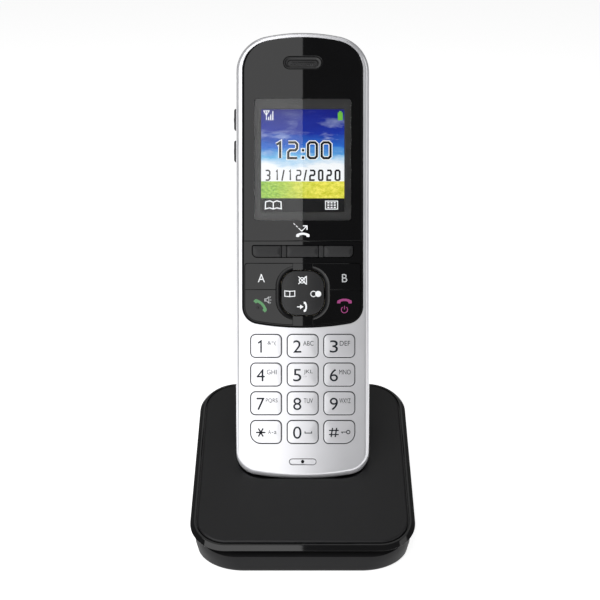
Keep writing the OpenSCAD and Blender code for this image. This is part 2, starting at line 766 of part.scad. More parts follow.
module base_bottom_shell() color([0.16, 0.16, 0.16]) {
    difference() {
        union() {
            difference() {
                shell_form(0, 0);
                shell_form(shell_t, shell_t);
                above_plate(shell_top);
            }
            for (spot = boss_spots) translate([spot[0], spot[1], 0.5])
                cylinder(r = 4, h = boss_end - 0.5 - 0.05, $fn = 32);
            for (x = [-16, 16], y = [-22, 17]) translate([x, y, shell_t - eps])
                cylinder(r = 2, h = base_pcb_z - shell_t, $fn = 32);
        }
        translate([0, 0, -1]) linear_extrude(1.8)
            polygon(rounded(-floor_w / 2 + 12, -floor_d / 2 + 16, floor_w / 2 - 12, floor_d / 2 - 16,
                            [4, 4, 4, 4]));
        for (spot = boss_spots) translate([spot[0], spot[1], 0]) {
            translate([0, 0, -1]) cylinder(r = 2.9, h = 4.2, $fn = 32);
            cylinder(r = 1.5, h = 10, $fn = 24);
        }
        for (spot = foot_spots) translate([spot[0], spot[1], -1]) cylinder(r = 4.1, h = 2.2, $fn = 48);
        box(-socket_x - 6.6, 30, 5, -socket_x + 6.6, 40, 17.4);
        box(socket_x - 5, 30, 5, socket_x + 5, 40, 17.4);
        translate([0, 30, button_z]) rotate([-90, 0, 0]) cylinder(r = 4.3, h = 12, $fn = 48);
    }
}

module base_feet() color([0.2, 0.2, 0.2]) {
    for (spot = foot_spots) translate([spot[0], spot[1], 0]) cylinder(r = 4, h = 1.2, $fn = 48);
}

module base_screws() color("gray") {
    for (spot = boss_spots) translate([spot[0], spot[1], 0]) {
        difference() {
            translate([0, 0, 1.4]) cylinder(r = 2.6, h = 1.8, $fn = 32);
            for (a = [0, 90]) rotate([0, 0, a]) translate([0, 0, 1.4]) cube([3.2, 0.7, 1.8], center = true);
        }
        translate([0, 0, 3.1]) cylinder(r = 1.18, h = 7, $fn = 24);
    }
}

// ---------- Base: inside ----------

module base_pcb() color("darkgreen") {
    difference() {
        box(-21, -26, base_pcb_z, 21, 33, board_top);
        for (x = [-16, 16], y = [-22, 17]) translate([x, y, 0]) cylinder(r = 0.9, h = 10, $fn = 24);
    }
    box(-8, -20, board_top - eps, 4, -8, board_top + 1.2);
    box(9, -18, board_top - eps, 16, -11, board_top + 1.2);
    for (i = [0 : 2]) box(-14 + 6 * i, 10, board_top - eps, -11 + 6 * i, 12, board_top + 0.8);
}

module base_antenna() color("goldenrod") {
    box(-20, -24.6, board_top, 4, -24, board_top + 3.2);
    box(-20, -24.6, board_top + 2.6, 4, -22.4, board_top + 3.2);
}

// Spring contact in the cradle's floor. It touches one charging pad and yields downwards.
module charge_contact(side) color("gold") in_handset() {
    x = side * pad_x;
    z = pad_z - 1.9;
    translate([x - 1, pad_y, z]) rotate([0, 90, 0]) cylinder(r = 1.7, h = 2, $fn = 48);
    box(x - 1, pad_y - 1.7, z - 2.4, x + 1, pad_y + 1.7, z);
    box(x - 1, pad_y - 2.4, z - 2.8, x + 1, pad_y + 2.4, z - 2.4 + eps);
}

module charge_contact_left() { charge_contact(-1); }
module charge_contact_right() { charge_contact(1); }

// Six-position line socket, standing on the board behind the rear wall.
module line_jack() color([0.12, 0.12, 0.12]) {
    difference() {
        box(-socket_x - 6.4, 21.6, board_top, -socket_x + 6.4, socket_face, 17.2);
        box(-socket_x - line_w / 2, 25, socket_z - line_h / 2,
            -socket_x + line_w / 2, 40, socket_z + line_h / 2);
        box(-socket_x - 3, 29, socket_z - line_h / 2 - 1.6, -socket_x + 3, 40, socket_z);
    }
    for (i = [0 : 3]) color("gold")
        box(-socket_x - 1.65 + i, 25 - eps, 14.6, -socket_x - 1.35 + i, 32, 15.01);
}

// Barrel power socket with a centre pin.
module dc_jack() color([0.12, 0.12, 0.12]) {
    difference() {
        box(socket_x - 4.8, 22.6, board_top, socket_x + 4.8, socket_face, 16.6);
        translate([socket_x, 25.6, socket_z]) rotate([-90, 0, 0])
            cylinder(r = power_bore / 2, h = 20, $fn = 48);
    }
    color("silver") translate([socket_x, 25.6 - eps, socket_z]) rotate([-90, 0, 0])
        cylinder(r = power_pin / 2, h = 9, $fn = 32);
}

// Rings the handset when pressed. It travels into the rear wall.
module locator_button() color([0.2, 0.2, 0.2]) {
    translate([0, 0, button_z]) rotate([-90, 0, 0]) {
        translate([0, 0, 34]) cylinder(r = 4.1, h = 3.8, $fn = 48);
        translate([0, 0, 33.6]) cylinder(r = 5.2, h = 0.9, $fn = 48);
        translate([0, 0, 33.2]) cylinder(r = 1.6, h = 1, $fn = 24);
    }
}

// Click switch for the locator, on an upright board.
module locator_switch() color("darkgreen") {
    box(-5, 27, board_top, 5, 28.2, button_z + 5);
    color("gray") box(-3, 28.2 - eps, button_z - 3, 3, 31.6, button_z + 3);
    color("black") translate([0, 31.6 - eps, button_z]) rotate([-90, 0, 0])
        cylinder(r = 1.7, h = 0.8, $fn = 24);
}

handset_front_housing();
display_lens();
function_bezel();
earpiece_grille();
handset_rear_housing();
battery_cover();
battery_cell_left();
battery_cell_right();
battery_contacts();
handset_pcb();
lcd_module();
lcd_frame();
earpiece_speaker();
ringer_speaker();
microphone();
keypad_mat();
dome_sheet();
handset_charge_contacts();
handset_antenna();
handset_screws();
volume_switch_board();
key_1();
key_2();
key_3();
key_4();
key_5();
key_6();
key_7();
key_8();
key_9();
key_star();
key_0();
key_hash();
softkey_left();
softkey_middle();
softkey_right();
key_a();
key_talk();
key_b();
key_off();
nav_pivot();
nav_key();
volume_up_key();
volume_down_key();
base_top_cover();
base_rim();
base_bottom_shell();
base_pcb();
charge_contact_left();
charge_contact_right();
line_jack();
dc_jack();
locator_button();
locator_switch();
base_feet();
base_screws();
base_antenna();
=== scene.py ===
import json
import math

import bmesh
import bpy
from mathutils import Matrix, Vector
from mathutils.geometry import tessellate_polygon


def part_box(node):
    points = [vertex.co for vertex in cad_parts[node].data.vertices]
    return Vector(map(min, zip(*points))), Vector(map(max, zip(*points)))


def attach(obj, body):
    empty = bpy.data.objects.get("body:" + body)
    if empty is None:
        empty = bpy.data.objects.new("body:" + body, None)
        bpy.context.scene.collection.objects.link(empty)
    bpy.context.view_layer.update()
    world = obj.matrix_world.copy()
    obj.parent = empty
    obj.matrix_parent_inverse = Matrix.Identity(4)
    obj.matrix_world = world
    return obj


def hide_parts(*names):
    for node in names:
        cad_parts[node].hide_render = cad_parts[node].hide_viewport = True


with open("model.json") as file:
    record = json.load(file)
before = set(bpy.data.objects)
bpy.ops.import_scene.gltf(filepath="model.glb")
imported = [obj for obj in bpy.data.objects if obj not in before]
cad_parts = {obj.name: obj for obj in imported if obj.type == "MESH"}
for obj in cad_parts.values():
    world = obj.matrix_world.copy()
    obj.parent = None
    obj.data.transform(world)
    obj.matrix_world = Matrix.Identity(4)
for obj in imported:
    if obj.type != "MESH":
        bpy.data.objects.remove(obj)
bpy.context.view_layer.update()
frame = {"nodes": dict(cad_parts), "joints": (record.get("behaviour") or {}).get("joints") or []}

# ---------- Frames, in millimetres on the object ----------

MM = 0.001


def joint_axis(name):
    return Vector(next(j for j in frame["joints"] if j["name"] == name)["axis"]).normalized()


SIDE, UP, DEPTH = Vector((1, 0, 0)), joint_axis("handset_lift"), joint_axis("battery_cover_pull")


def reach(node, direction):
    """Lowest and highest place of a CAD node along a direction, in millimetres."""
    values = [v.co.dot(direction) / MM for v in frame["nodes"][node].data.vertices]
    return min(values), max(values)


def half_width(node):
    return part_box(node)[1].x / MM


class Place:
    """A frame on the object: x along its side, z along its up and d along its depth."""

    def __init__(self, origin, up, depth, side=SIDE):
        self.origin, self.up, self.depth, self.side = origin, up, depth, side

    def at(self, x, z, d=0.0):
        return self.origin + (self.side * x + self.up * z + self.depth * d) * MM

    def matrix(self):
        s, u, n, o = self.side, self.up, -self.depth, self.origin
        return Matrix(((s.x, u.x, n.x, o.x), (s.y, u.y, n.y, o.y), (s.z, u.z, n.z, o.z), (0, 0, 0, 1)))


# The handset's heights are measured from a datum 2 mm below its bottom edge
FOOT = 2.0
FACE_D = reach("handset_front_housing", DEPTH)[0]
FOOT_W = reach("handset_front_housing", UP)[0] - FOOT
HANDSET = Place((DEPTH * FACE_D + UP * FOOT_W) * MM, UP, DEPTH)
FLANK = Place(HANDSET.origin, DEPTH, SIDE, UP)


def heights(node):
    return [v - FOOT_W for v in reach(node, UP)]


def depths(node):
    return [v - FACE_D for v in reach(node, DEPTH)]


def middle(node):
    low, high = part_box(node)
    return (low.x + high.x) / 2 / MM, sum(heights(node)) / 2


HALF = half_width("handset_front_housing")
LENGTH = heights("handset_front_housing")[1]
PARTING = depths("handset_front_housing")[1]
THICK = depths("handset_rear_housing")[1]

SLOPE_UP = Vector((0, DEPTH.y, -DEPTH.z))
SLOPE_IN = -SIDE.cross(SLOPE_UP)
PLATE_TOP = reach("base_top_cover", SLOPE_IN)[0]
PLATE_LOW, PLATE_HIGH = reach("base_rim", SLOPE_UP)
PLATE_HALF_L = (PLATE_HIGH - PLATE_LOW) / 2
PLATE = Place((SLOPE_IN * PLATE_TOP + SLOPE_UP * (PLATE_LOW + PLATE_HIGH) / 2) * MM, SLOPE_UP, SLOPE_IN)
BASE_HALF = half_width("base_rim")
FLOOR = Place(Vector((0, 0, 0)), Vector((0, 1, 0)), Vector((0, 0, -1)))
REAR_WALL = Place(Vector((0, 0, 0)), Vector((0, 0, 1)), Vector((0, 1, 0)))

# ---------- Outlines: lists of (x, z, nx, nz), counterclockwise from the front ----------


def arc(cx, cz, r, a0, a1, n, last=True):
    out = []
    for i in range(n + 1 if last else n):
        a = math.radians(a0 + (a1 - a0) * i / n)
        out.append((cx + r * math.cos(a), cz + r * math.sin(a), math.cos(a), math.sin(a)))
    return out


def arched(half, z0, z1, arc1, r1, arc0, r0, n_corner=18, n_end=16):
    """Straight sides, ends bowed at radius arc1 above and arc0 below, and corners of r1 and r0."""
    cx1, cx0 = half - r1, half - r0
    a1 = math.degrees(math.asin(cx1 / (arc1 - r1)))
    a0 = math.degrees(math.asin(cx0 / (arc0 - r0)))
    cz1 = z1 - arc1 + (arc1 - r1) * math.cos(math.radians(a1))
    cz0 = z0 + arc0 - (arc0 - r0) * math.cos(math.radians(a0))
    return (arc(0, z1 - arc1, arc1, 90 - a1, 90 + a1, n_end, False)
            + arc(-cx1, cz1, r1, 90 + a1, 180, n_corner)
            + arc(-cx0, cz0, r0, 180, 270 - a0, n_corner, False)
            + arc(0, z0 + arc0, arc0, 270 - a0, 270 + a0, n_end, False)
            + arc(cx0, cz0, r0, 270 + a0, 360, n_corner)
            + arc(cx1, cz1, r1, 0, 90 - a1, n_corner, False))


def rounded(x0, z0, x1, z1, radii, inset=0.0, n=7):
    """A rectangle with four corner radii, counterclockwise from the lower left."""
    x0, z0, x1, z1 = x0 + inset, z0 + inset, x1 - inset, z1 - inset
    r = [max(v - inset, 0.04) for v in radii]
    return (arc(x0 + r[0], z0 + r[0], r[0], 180, 270, n) + arc(x1 - r[1], z0 + r[1], r[1], 270, 360, n)
            + arc(x1 - r[2], z1 - r[2], r[2], 0, 90, n) + arc(x0 + r[3], z1 - r[3], r[3], 90, 180, n))


def centred(cx, cz, w, h, radii, inset=0.0, n=7):
    return rounded(cx - w / 2, cz - h / 2, cx + w / 2, cz + h / 2, radii, inset, n)


def stadium(cx, cz, w, h, inset=0.0, n=12):
    w, h = w - 2 * inset, h - 2 * inset
    k = (w - h) / 2
    return arc(cx - k, cz, h / 2, 90, 270, n) + arc(cx + k, cz, h / 2, 270, 450, n)


def disc(cx, cz, r, n=32):
    return arc(cx, cz, r, 0, 360, n, False)


def rect(x0, z0, x1, z1):
    return [(x0, z0), (x1, z0), (x1, z1), (x0, z1)]


def centred_rect(x, z, half_w, half_h):
    return rect(x - half_w, z - half_h, x + half_w, z + half_h)


def pulled(outline, inset):
    """Moves each point of an outline inwards. inset is a number, or a function of the point."""
    out = []
    for x, z, nx, nz in outline:
        k = inset(x, z) if callable(inset) else inset
        out.append((x - nx * k, z - nz * k, nx, nz))
    return out


def clipped(outline, level, keep_above):
    """The part of an outline above or below a level, closed along that level."""
    out = []
    for a, b in zip(outline, outline[1:] + outline[:1]):
        inside, next_inside = ((p[1] >= level) == keep_above for p in (a, b))
        if inside:
            out.append(a)
        if inside != next_inside:
            t = (level - a[1]) / (b[1] - a[1])
            out.append((a[0] + (b[0] - a[0]) * t, level, a[2], a[3]))
    return out


def crossing(outline, x, top):
    """Where an outline passes a given x, on its upper or lower side."""
    best = None
    for a, b in zip(outline, outline[1:] + outline[:1]):
        if (a[0] - x) * (b[0] - x) <= 0 and a[0] != b[0]:
            z = a[1] + (b[1] - a[1]) * (x - a[0]) / (b[0] - a[0])
            if best is None or (z > best) == top:
                best = z
    return best


def softened(points, r, n=3):
    """Rounds the corners of a plain polygon of (x, z) points."""
    out = []
    for i in range(len(points)):
        p = Vector(points[i])
        a, b = Vector(points[i - 1]) - p, Vector(points[(i + 1) % len(points)]) - p
        k = min(r, a.length * 0.45, b.length * 0.45)
        a, b = p + a.normalized() * k, p + b.normalized() * k
        for t in (s / n for s in range(n + 1)):
            out.append(tuple(a * (1 - t) ** 2 + p * 2 * t * (1 - t) + b * t ** 2))
    return out


def quarter(n, first=0):
    """Sines and cosines of a quarter turn in n steps."""
    turns = [math.radians(90 * i / n) for i in range(first, n + 1)]
    return [(math.sin(t), math.cos(t)) for t in turns]


def handset_outline():
    return arched(HALF, FOOT, LENGTH, 63, 13, 94, 8)


PANEL_HALF = half_width("display_lens")
LENS_LOW, PANEL_TOP = heights("display_lens")
PANEL_LOW = heights("function_bezel")[0]
PANEL_D = 1.7


def panel_outline():
    """The black panel: the lens above and the function keys' bezel below."""
    return arched(PANEL_HALF, PANEL_LOW, PANEL_TOP, 61, 11, 94, 5.5)


# ---------- Meshes ----------


def sharpen(mesh):
    """Marks the edges above 38 degrees as sharp and keeps the flat faces flat."""
    smooth = [polygon.use_smooth for polygon in mesh.polygons]
    mesh.set_sharp_from_angle(angle=math.radians(38))
    mesh.polygons.foreach_set("use_smooth", smooth)


def linked(name, data):
    obj = bpy.data.objects.new(name, data)
    bpy.context.scene.collection.objects.link(obj)
    return obj


def evaluated_mesh(obj):
    bpy.context.view_layer.update()
    return bpy.data.meshes.new_from_object(obj.evaluated_get(bpy.context.evaluated_depsgraph_get()))


def piece(obj, body, slot, *nodes):
    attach(obj, body)
    if nodes:
        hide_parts(*nodes)
    return obj


class Form:
    """Collects rings of points into a mesh. Skins are smooth; caps are flat."""

    def __init__(self, place=HANDSET):
        self.place, self.verts, self.faces = place, [], []

    def add(self, faces, soft=False, tint=0):
        """tint is the index of the faces' material."""
        self.faces += [(tuple(face), soft, tint) for face in faces]

    def ring(self, outline, d):
        """A ring of points at a depth, which is a number or a function of the point."""
        start = len(self.verts)
        self.verts += [self.place.at(p[0], p[1], d(p[0], p[1]) if callable(d) else d) for p in outline]
        return list(range(start, len(self.verts)))

    def skin(self, rings, soft=True, tint=0):
        for a, b in zip(rings, rings[1:]):
            self.add(zip(a, b, b[1:] + b[:1], a[1:] + a[:1]), soft, tint)
        return rings[-1]

    def cap(self, rings, tint=0):
        """Closes a flat region: the first ring is its edge, and the others are its holes."""
        indices = [i for ring in rings for i in ring]
        back = self.place.matrix().inverted()
        loops = [[(back @ self.verts[i]).to_2d().to_3d() for i in ring] for ring in rings]
        self.add([[indices[i] for i in tri] for tri in tessellate_polygon(loops)], tint=tint)

    def wall(self, shape, levels, tint=0, loop=False):
        """Rings at (inset, depth) and their skin. shape is an outline, or a function of the inset."""
        if callable(shape):
            rings = [self.ring(shape(k), d) for k, d in levels]
        else:
            rings = [self.ring(pulled(shape, k) if k else shape, d) for k, d in levels]
        self.skin(rings + rings[:1] if loop else rings, tint=tint)
        return rings

    def close(self, edge, *holes):
        """Caps both ends of a wall round its holes, which are walls too."""
        for end in (0, -1):
            self.cap([edge[end]] + [hole[end] for hole in holes])

    def tube(self, shape, levels):
        """A wall that is closed at both ends."""
        self.close(self.wall(shape, levels))

    def post(self, x, z, r, d0, d1, n=24):
        self.tube(disc(x, z, r, n), [(0, d0), (0, d1)])

    def letters(self, points, polygons, d, thick):
        """A flat mesh of polygons made into a thin solid."""
        low = self.ring(points, d)
        top = [len(self.verts) + i for i in range(len(points))]
        self.verts += [self.verts[i] - self.place.depth * thick * MM for i in low]
        edges = {(a, b) for face in polygons for a, b in zip(face, face[1:] + face[:1])}
        self.add([[top[i] for i in face] for face in polygons])
        self.add([[low[i] for i in reversed(face)] for face in polygons])
        self.add([(top[b], top[a], low[a], low[b]) for a, b in edges if (b, a) not in edges])

    def build(self, name, materials=(), weld=True):
        mesh = bpy.data.meshes.new(name)
        mesh.from_pydata([tuple(v) for v in self.verts], [], [face for face, _, _ in self.faces])
        for polygon, (_, soft, tint) in zip(mesh.polygons, self.faces):
            polygon.use_smooth = soft
            polygon.material_index = tint
        shape = bmesh.new()
        shape.from_mesh(mesh)
        if weld:
            bmesh.ops.remove_doubles(shape, verts=shape.verts, dist=2e-6)
        bmesh.ops.dissolve_degenerate(shape, edges=shape.edges, dist=1e-7)
        bmesh.ops.recalc_face_normals(shape, faces=shape.faces)
        shape.to_mesh(mesh)
        shape.free()
        sharpen(mesh)
        for material in materials:
            mesh.materials.append(material)
        return linked(name, mesh)

    def piece(self, name, material, body, slot, *nodes, weld=True):
        return piece(self.build(name, [material], weld), body, slot, *nodes)


def solid(place, outline, d0, d1, materials=(), name="cutter"):
    form = Form(place)
    form.tube(outline, [(0, d0), (0, d1)])
    return form.build(name, materials)


def rods(place, spots, r, d0, d1, n=24):
    return [solid(place, disc(x, z, r, n), d0, d1) for x, z in spots]


def cut(obj, cutters, operation="DIFFERENCE"):
    """Cuts solids out of an object, or joins them to it, and removes them."""
    group = bpy.data.collections.new(obj.name + "-cut")
    for c in cutters:
        for owner in list(c.users_collection):
            owner.objects.unlink(c)
        group.objects.link(c)
    bpy.context.scene.collection.children.link(group)
    modifier = obj.modifiers.new("cut", "BOOLEAN")
    modifier.operation = operation
    modifier.operand_type = "COLLECTION"
    modifier.collection = group
    modifier.solver = "EXACT"
    result = evaluated_mesh(obj)
    obj.modifiers.clear()
    obj.data = result
    for c in cutters:
        bpy.data.objects.remove(c)
    bpy.data.collections.remove(group)
    sharpen(result)
    return obj


# ---------- Materials ----------


def rgb(r, g, b):
    """A screen colour, 0 to 255, as linear light."""
    out = []
    for v in (r, g, b):
        c = v / 255
        out.append(c / 12.92 if c <= 0.04045 else ((c + 0.055) / 1.055) ** 2.4)
    return (*out, 1)


def shade(color, k):
    return tuple(min(1.0, c * k) for c in color[:3]) + (1,)


class Shader:
    """A material with one Principled shader, and short ways to add nodes to it."""

    def __init__(self, name, values):
        self.mat = bpy.data.materials.new(name)
        self.mat.use_nodes = True
        self.nodes, self.link = self.mat.node_tree.nodes, self.mat.node_tree.links.new
        self.inputs = self.nodes["Principled BSDF"].inputs
        for key, value in values.items():
            self.inputs[key].default_value = value
        self.where = self.node("TexCoord", {}).outputs["Object"]

    def node(self, kind, inputs, **attributes):
        """A new node. Its inputs are values, or sockets to link."""
        node = self.nodes.new("ShaderNode" + kind)
        for key, value in attributes.items():
            setattr(node, key, value)
        for key, value in inputs.items():
            if isinstance(value, bpy.types.NodeSocket):
                self.link(value, node.inputs[key])
            else:
                node.inputs[key].default_value = value
        return node

    def feed(self, key, socket):
        self.link(socket, self.inputs[key])

    def noise(self, scale, detail=2, rough=0.5, stretch=None):
        where = self.where
        if stretch:
            where = self.node("Mapping", {"Vector": where, "Scale": (*stretch, 1)}).outputs["Vector"]
        values = {"Scale": scale, "Detail": detail, "Roughness": rough, "Vector": where}
        return self.node("TexNoise", values).outputs["Fac"]

    def spread(self, value, low, high, to=(0, 1)):
        values = {"Value": value, "From Min": low, "From Max": high, "To Min": to[0], "To Max": to[1]}
        return self.node("MapRange", values).outputs["Result"]

    def ramp(self, value, stops):
        node = self.node("ValToRGB", {"Fac": value})
        elements = node.color_ramp.elements
        while len(elements) < len(stops):
            elements.new(0.5)
        for element, (position, color) in zip(elements, stops):
            element.position, element.color = position, color
        return node.outputs["Color"]

    def maths(self, operation, *values, clamp=False):
        return self.node("Math", dict(enumerate(values)), operation=operation, use_clamp=clamp).outputs[0]

    def mix(self, factor, a, b):
        return self.node("Mix", {"Factor": factor, 6: a, 7: b}, data_type="RGBA").outputs[2]


def finish(name, color, rough, metal=0.0, spec=0.5, grain=2200, bump=0.02, spread=0.05, tint=0.06,
           coat=0.0, cloud=90):
    """Moulded or metal finish: fine grain in the bump, slow variation in colour and gloss."""
    shader = Shader(name, {"Metallic": metal, "Specular IOR Level": spec, "Coat Weight": coat})
    slow = shader.noise(cloud, 4)
    shader.feed("Base Color", shader.ramp(slow, [(0.3, shade(color, 1 - tint)), (0.7, shade(color, 1 + tint))]))
    shader.feed("Roughness", shader.spread(slow, 0, 1, (max(rough - spread, 0.0), rough + spread)))
    if bump:
        values = {"Strength": min(1.0, bump * 10), "Distance": bump * MM, "Height": shader.noise(grain, 3)}
        shader.feed("Normal", shader.node("Bump", values).outputs["Normal"])
    return shader.mat


def clear_pane():
    shader = Shader("lens_clear", {"Transmission Weight": 1.0, "IOR": 1.3})
    slow = shader.noise(60)
    shader.feed("Roughness", shader.spread(slow, 0, 1, (0.0, 0.008)))
    shader.feed("Base Color", shader.ramp(slow, [(0, (0.97, 0.975, 0.98, 1)), (1, (0.99, 0.99, 0.99, 1))]))
    return shader.mat


def glow(name, color):
    """Lit print on the display, with a faint cell pattern."""
    shader = Shader(name, {"Base Color": (0.01, 0.01, 0.01, 1), "Specular IOR Level": 0.0,
                           "Emission Strength": 1.0})
    tone = shader.ramp(shader.noise(3000), [(0, shade(color, 0.93)), (1, shade(color, 1.05))])
    shader.feed("Emission Color", tone)
    return shader.mat


SILVER = {"metal": 0.55, "grain": 5200, "bump": 0.001, "spread": 0.02, "tint": 0.012}
silver = finish("silver_plastic", (0.72, 0.72, 0.745, 1), 0.17, **SILVER)
silver_key = finish("silver_key", (0.73, 0.73, 0.755, 1), 0.16, **SILVER)
gloss_black = finish("panel_black", rgb(6, 6, 7), 0.015, spec=0.36, bump=0, spread=0.008, tint=0.15)
# Near-black: the navigation pivot's own colour, and painted shade in the housing's recess and microphone hole,
# the gap round the panel, the microphone plug and the line across the bridge
pivot_black_and_groove_shade = finish("pivot_black_and_groove_shade", rgb(12, 12, 13), 0.6, spec=0.1, bump=0.004)
dish_black = finish("dish_black", rgb(20, 20, 21), 0.3, bump=0.002)
satin_black = finish("key_satin_black", rgb(32, 32, 33), 0.38, spec=0.3, bump=0.006, grain=4200)
case_black = finish("casing_black", rgb(25, 25, 26), 0.5, spec=0.18, bump=0.012, grain=3200, spread=0.06)
top_black = finish("top_cover_black", rgb(26, 26, 27), 0.4, spec=0.3, bump=0.008, grain=3600)
rim_black = finish("rim_black", rgb(12, 12, 13), 0.03, spec=0.45, bump=0, spread=0.01, tint=0.1)
legend_dark = finish("legend_dark", rgb(24, 27, 33), 0.6, spec=0.1, bump=0.002)
legend_white = finish("legend_white", rgb(236, 238, 240), 0.5, bump=0.002, tint=0.02)
legend_grey = finish("legend_grey", rgb(176, 178, 180), 0.5, bump=0.002, tint=0.02)
legend_green = finish("legend_green", rgb(84, 140, 90), 0.45, bump=0.002)
legend_magenta = finish("legend_magenta", rgb(144, 46, 110), 0.45, bump=0.002)
frame_grey = finish("frame_grey", rgb(48, 48, 48), 0.45, spec=0.3, bump=0.003, grain=3000)
grille = finish("grille_grey", rgb(20, 20, 21), 0.3, metal=0.2, bump=0.004)
board = finish("circuit_board", rgb(22, 84, 48), 0.35, bump=0.02, grain=700, tint=0.2, coat=0.4)
silicone = finish("silicone", rgb(52, 52, 55), 0.7, spec=0.2, bump=0.01, grain=1500)
film = finish("dome_film", rgb(214, 206, 176), 0.35, bump=0.006, grain=1800)
steel = finish("screw_steel", (0.55, 0.55, 0.57, 1), 0.32, metal=1, bump=0.006, tint=0.1)
speaker = finish("speaker_metal", (0.36, 0.36, 0.38, 1), 0.4, metal=0.9, bump=0.01, tint=0.12)
nickel = finish("contact_nickel", (0.66, 0.63, 0.58, 1), 0.25, metal=1, bump=0.003, tint=0.08)
gold = finish("contact_gold", (0.83, 0.6, 0.25, 1), 0.24, metal=1, bump=0.003, tint=0.1)
copper = finish("antenna_copper", (0.74, 0.42, 0.27, 1), 0.3, metal=1, bump=0.004, tint=0.12)
wrap = finish("cell_wrap", rgb(40, 120, 84), 0.3, bump=0.008, grain=900, tint=0.15, coat=0.5)
jack_black = finish("jack_black", rgb(26, 26, 27), 0.45, bump=0.012, grain=2600)
rubber = finish("foot_rubber", rgb(34, 34, 34), 0.8, bump=0.02, grain=2600)
# Dark ink for the hairlines round the keys and the microphone's slot: painted shade of the gaps
gap_shade_ink = finish("painted_gap_shade", rgb(44, 45, 48), 0.6, spec=0.1, bump=0.004)
clear = clear_pane()

CARRIED = {
    board: ("handset_pcb", "volume_switch_board", "base_pcb", "locator_switch"),
    copper: ("handset_antenna", "base_antenna"),
    film: ("dome_sheet",),
    frame_grey: ("lcd_module",),
    gold: ("charge_contact_left", "charge_contact_right"),
    pivot_black_and_groove_shade: ("nav_pivot",),
    jack_black: ("line_jack", "dc_jack"),
    nickel: ("battery_contacts", "handset_charge_contacts"),
    rubber: ("base_feet",),
    satin_black: ("locator_button",),
    silicone: ("keypad_mat",),
    speaker: ("earpiece_speaker", "ringer_speaker", "microphone"),
    steel: ("handset_screws", "base_screws"),
    wrap: ("battery_cell_left", "battery_cell_right"),
}
for material, carried in CARRIED.items():
    for node in carried:
        for material_slot in frame["nodes"][node].material_slots:
            material_slot.material = material

# ---------- Handset: front housing ----------

KEY_NAMES = ["key_star", "key_0", "key_hash", "key_7", "key_8", "key_9",
             "key_4", "key_5", "key_6", "key_1", "key_2", "key_3"]
KEY_AT = {name: middle(name) for name in KEY_NAMES}
KEY_W, KEY_H, KEY_R, KEY_OUTER_R = 10.9, 8.15, 1.8, 3.7
KEY_GAP = 0.02
FACE_WALL = 3.4
MIC_Z = middle("microphone")[1]
VOLUME_D = sum(depths("volume_up_key")) / 2


def key_outline(name, inset=0.0):
    """A digit key's opening. The two lowest corners of the keypad are rounder."""
    radii = [KEY_OUTER_R if name == "key_star" else KEY_R, KEY_OUTER_R if name == "key_hash" else KEY_R,
             KEY_R, KEY_R]
    return centred(*KEY_AT[name], KEY_W, KEY_H, radii, inset)


def edge_size(x, z):
    """The front edge is rounder towards the bottom."""
    t = max(0.0, min(1.0, (19 - z) / 17))
    return 1.7 + 0.6 * t * t * (3 - 2 * t)


def front_housing():
    form = Form()
    levels = [(lambda x, z: edge_size(x, z) + 0.1, 0)]
    for s, c in quarter(10):
        levels.append((lambda x, z, s=s: edge_size(x, z) * (1 - s),
                       lambda x, z, c=c: (edge_size(x, z) + 0.15) * (1 - c)))
    levels += [(0, PARTING - 0.2), (0.2, PARTING), (1.8, PARTING), (1.8, 5.2), (3.2, FACE_WALL)]
    rings = form.wall(handset_outline(), levels)
    gap, ledge = pulled(panel_outline(), -0.6), pulled(panel_outline(), 2.2)
    lip = form.wall(gap, [(-0.16, 0), (-0.1, 0), (0, 0.1)])
    # The recess walls round the panel take the second material, near-black: painted shade in the gap
    recess = form.skin([lip[-1], form.ring(gap, 1.8), form.ring(ledge, 1.8), form.ring(ledge, FACE_WALL)],
                       tint=1)
    holes = [(lip[0], recess)]
    for name in KEY_NAMES:
        holes.append(form.wall(lambda k: key_outline(name, k),
                               [(-0.16, 0), (-0.12, 0), (-KEY_GAP, 0.1), (-KEY_GAP, FACE_WALL)]))
    slot = form.wall(lambda k: stadium(0, MIC_Z, 8.8, 1.5, k), [(-0.2, 0), (-0.1, 0.1), (0, 0.45)])
    # The microphone port's wall is near-black: painted shade in the hole
    port = form.wall(disc(0, MIC_Z, 0.6, 20), [(0, 0.45), (0, FACE_WALL)], tint=1)
    form.cap([slot[-1], port[0]])
    holes.append((slot[0], port[-1]))
    form.close(rings, *holes)
    obj = form.build("front_housing", [silver, pivot_black_and_groove_shade])
    cut(obj, [solid(FLANK, centred(middle(name)[1], VOLUME_D, 8.1, 3.6, [0.7] * 4, n=5), -HALF - 2, -HALF + 4)
              for name in ("volume_up_key", "volume_down_key")])
    piece(obj, "handset", "silver_plastic", "handset_front_housing")
    # A near-black ring lining the gap round the panel: painted shade in the gap
    border = Form()
    border.wall(panel_outline(), [(-0.57, 1.7), (-0.57, 0.4), (-0.04, 0.5), (-0.04, 1.7)], loop=True)
    border.piece("panel_border", pivot_black_and_groove_shade, "handset", "panel_black")


front_housing()

# ---------- Handset: digit keys ----------


def crowned(form, shape, edge, top, low, crown, steps=(0.6, 1.4, 2.4, 3.3), fillet_n=6):
    """A key cap: shape(inset) gives its outline, with a rounded edge and a slightly domed face."""
    levels = [(edge + step, top - crown * (1 - (1 - step / steps[-1]) ** 2)) for step in reversed(steps)]
    levels.append((edge + 0.05, top))
    levels += [(edge * (1 - s), top + edge * (1 - c)) for s, c in quarter(fillet_n)]
    form.tube(shape, levels + [(0, low)])


for name in KEY_NAMES:
    form = Form()
    crowned(form, lambda k: key_outline(name, k + 0.2), 0.22, -0.3, 3.1, 0.03)
    form.post(*KEY_AT[name], 1.3, 3.0, 6.0)
    form.piece("cap_" + name, silver_key, name, "silver_plastic", name)


# ---------- Printed legends and icons ----------


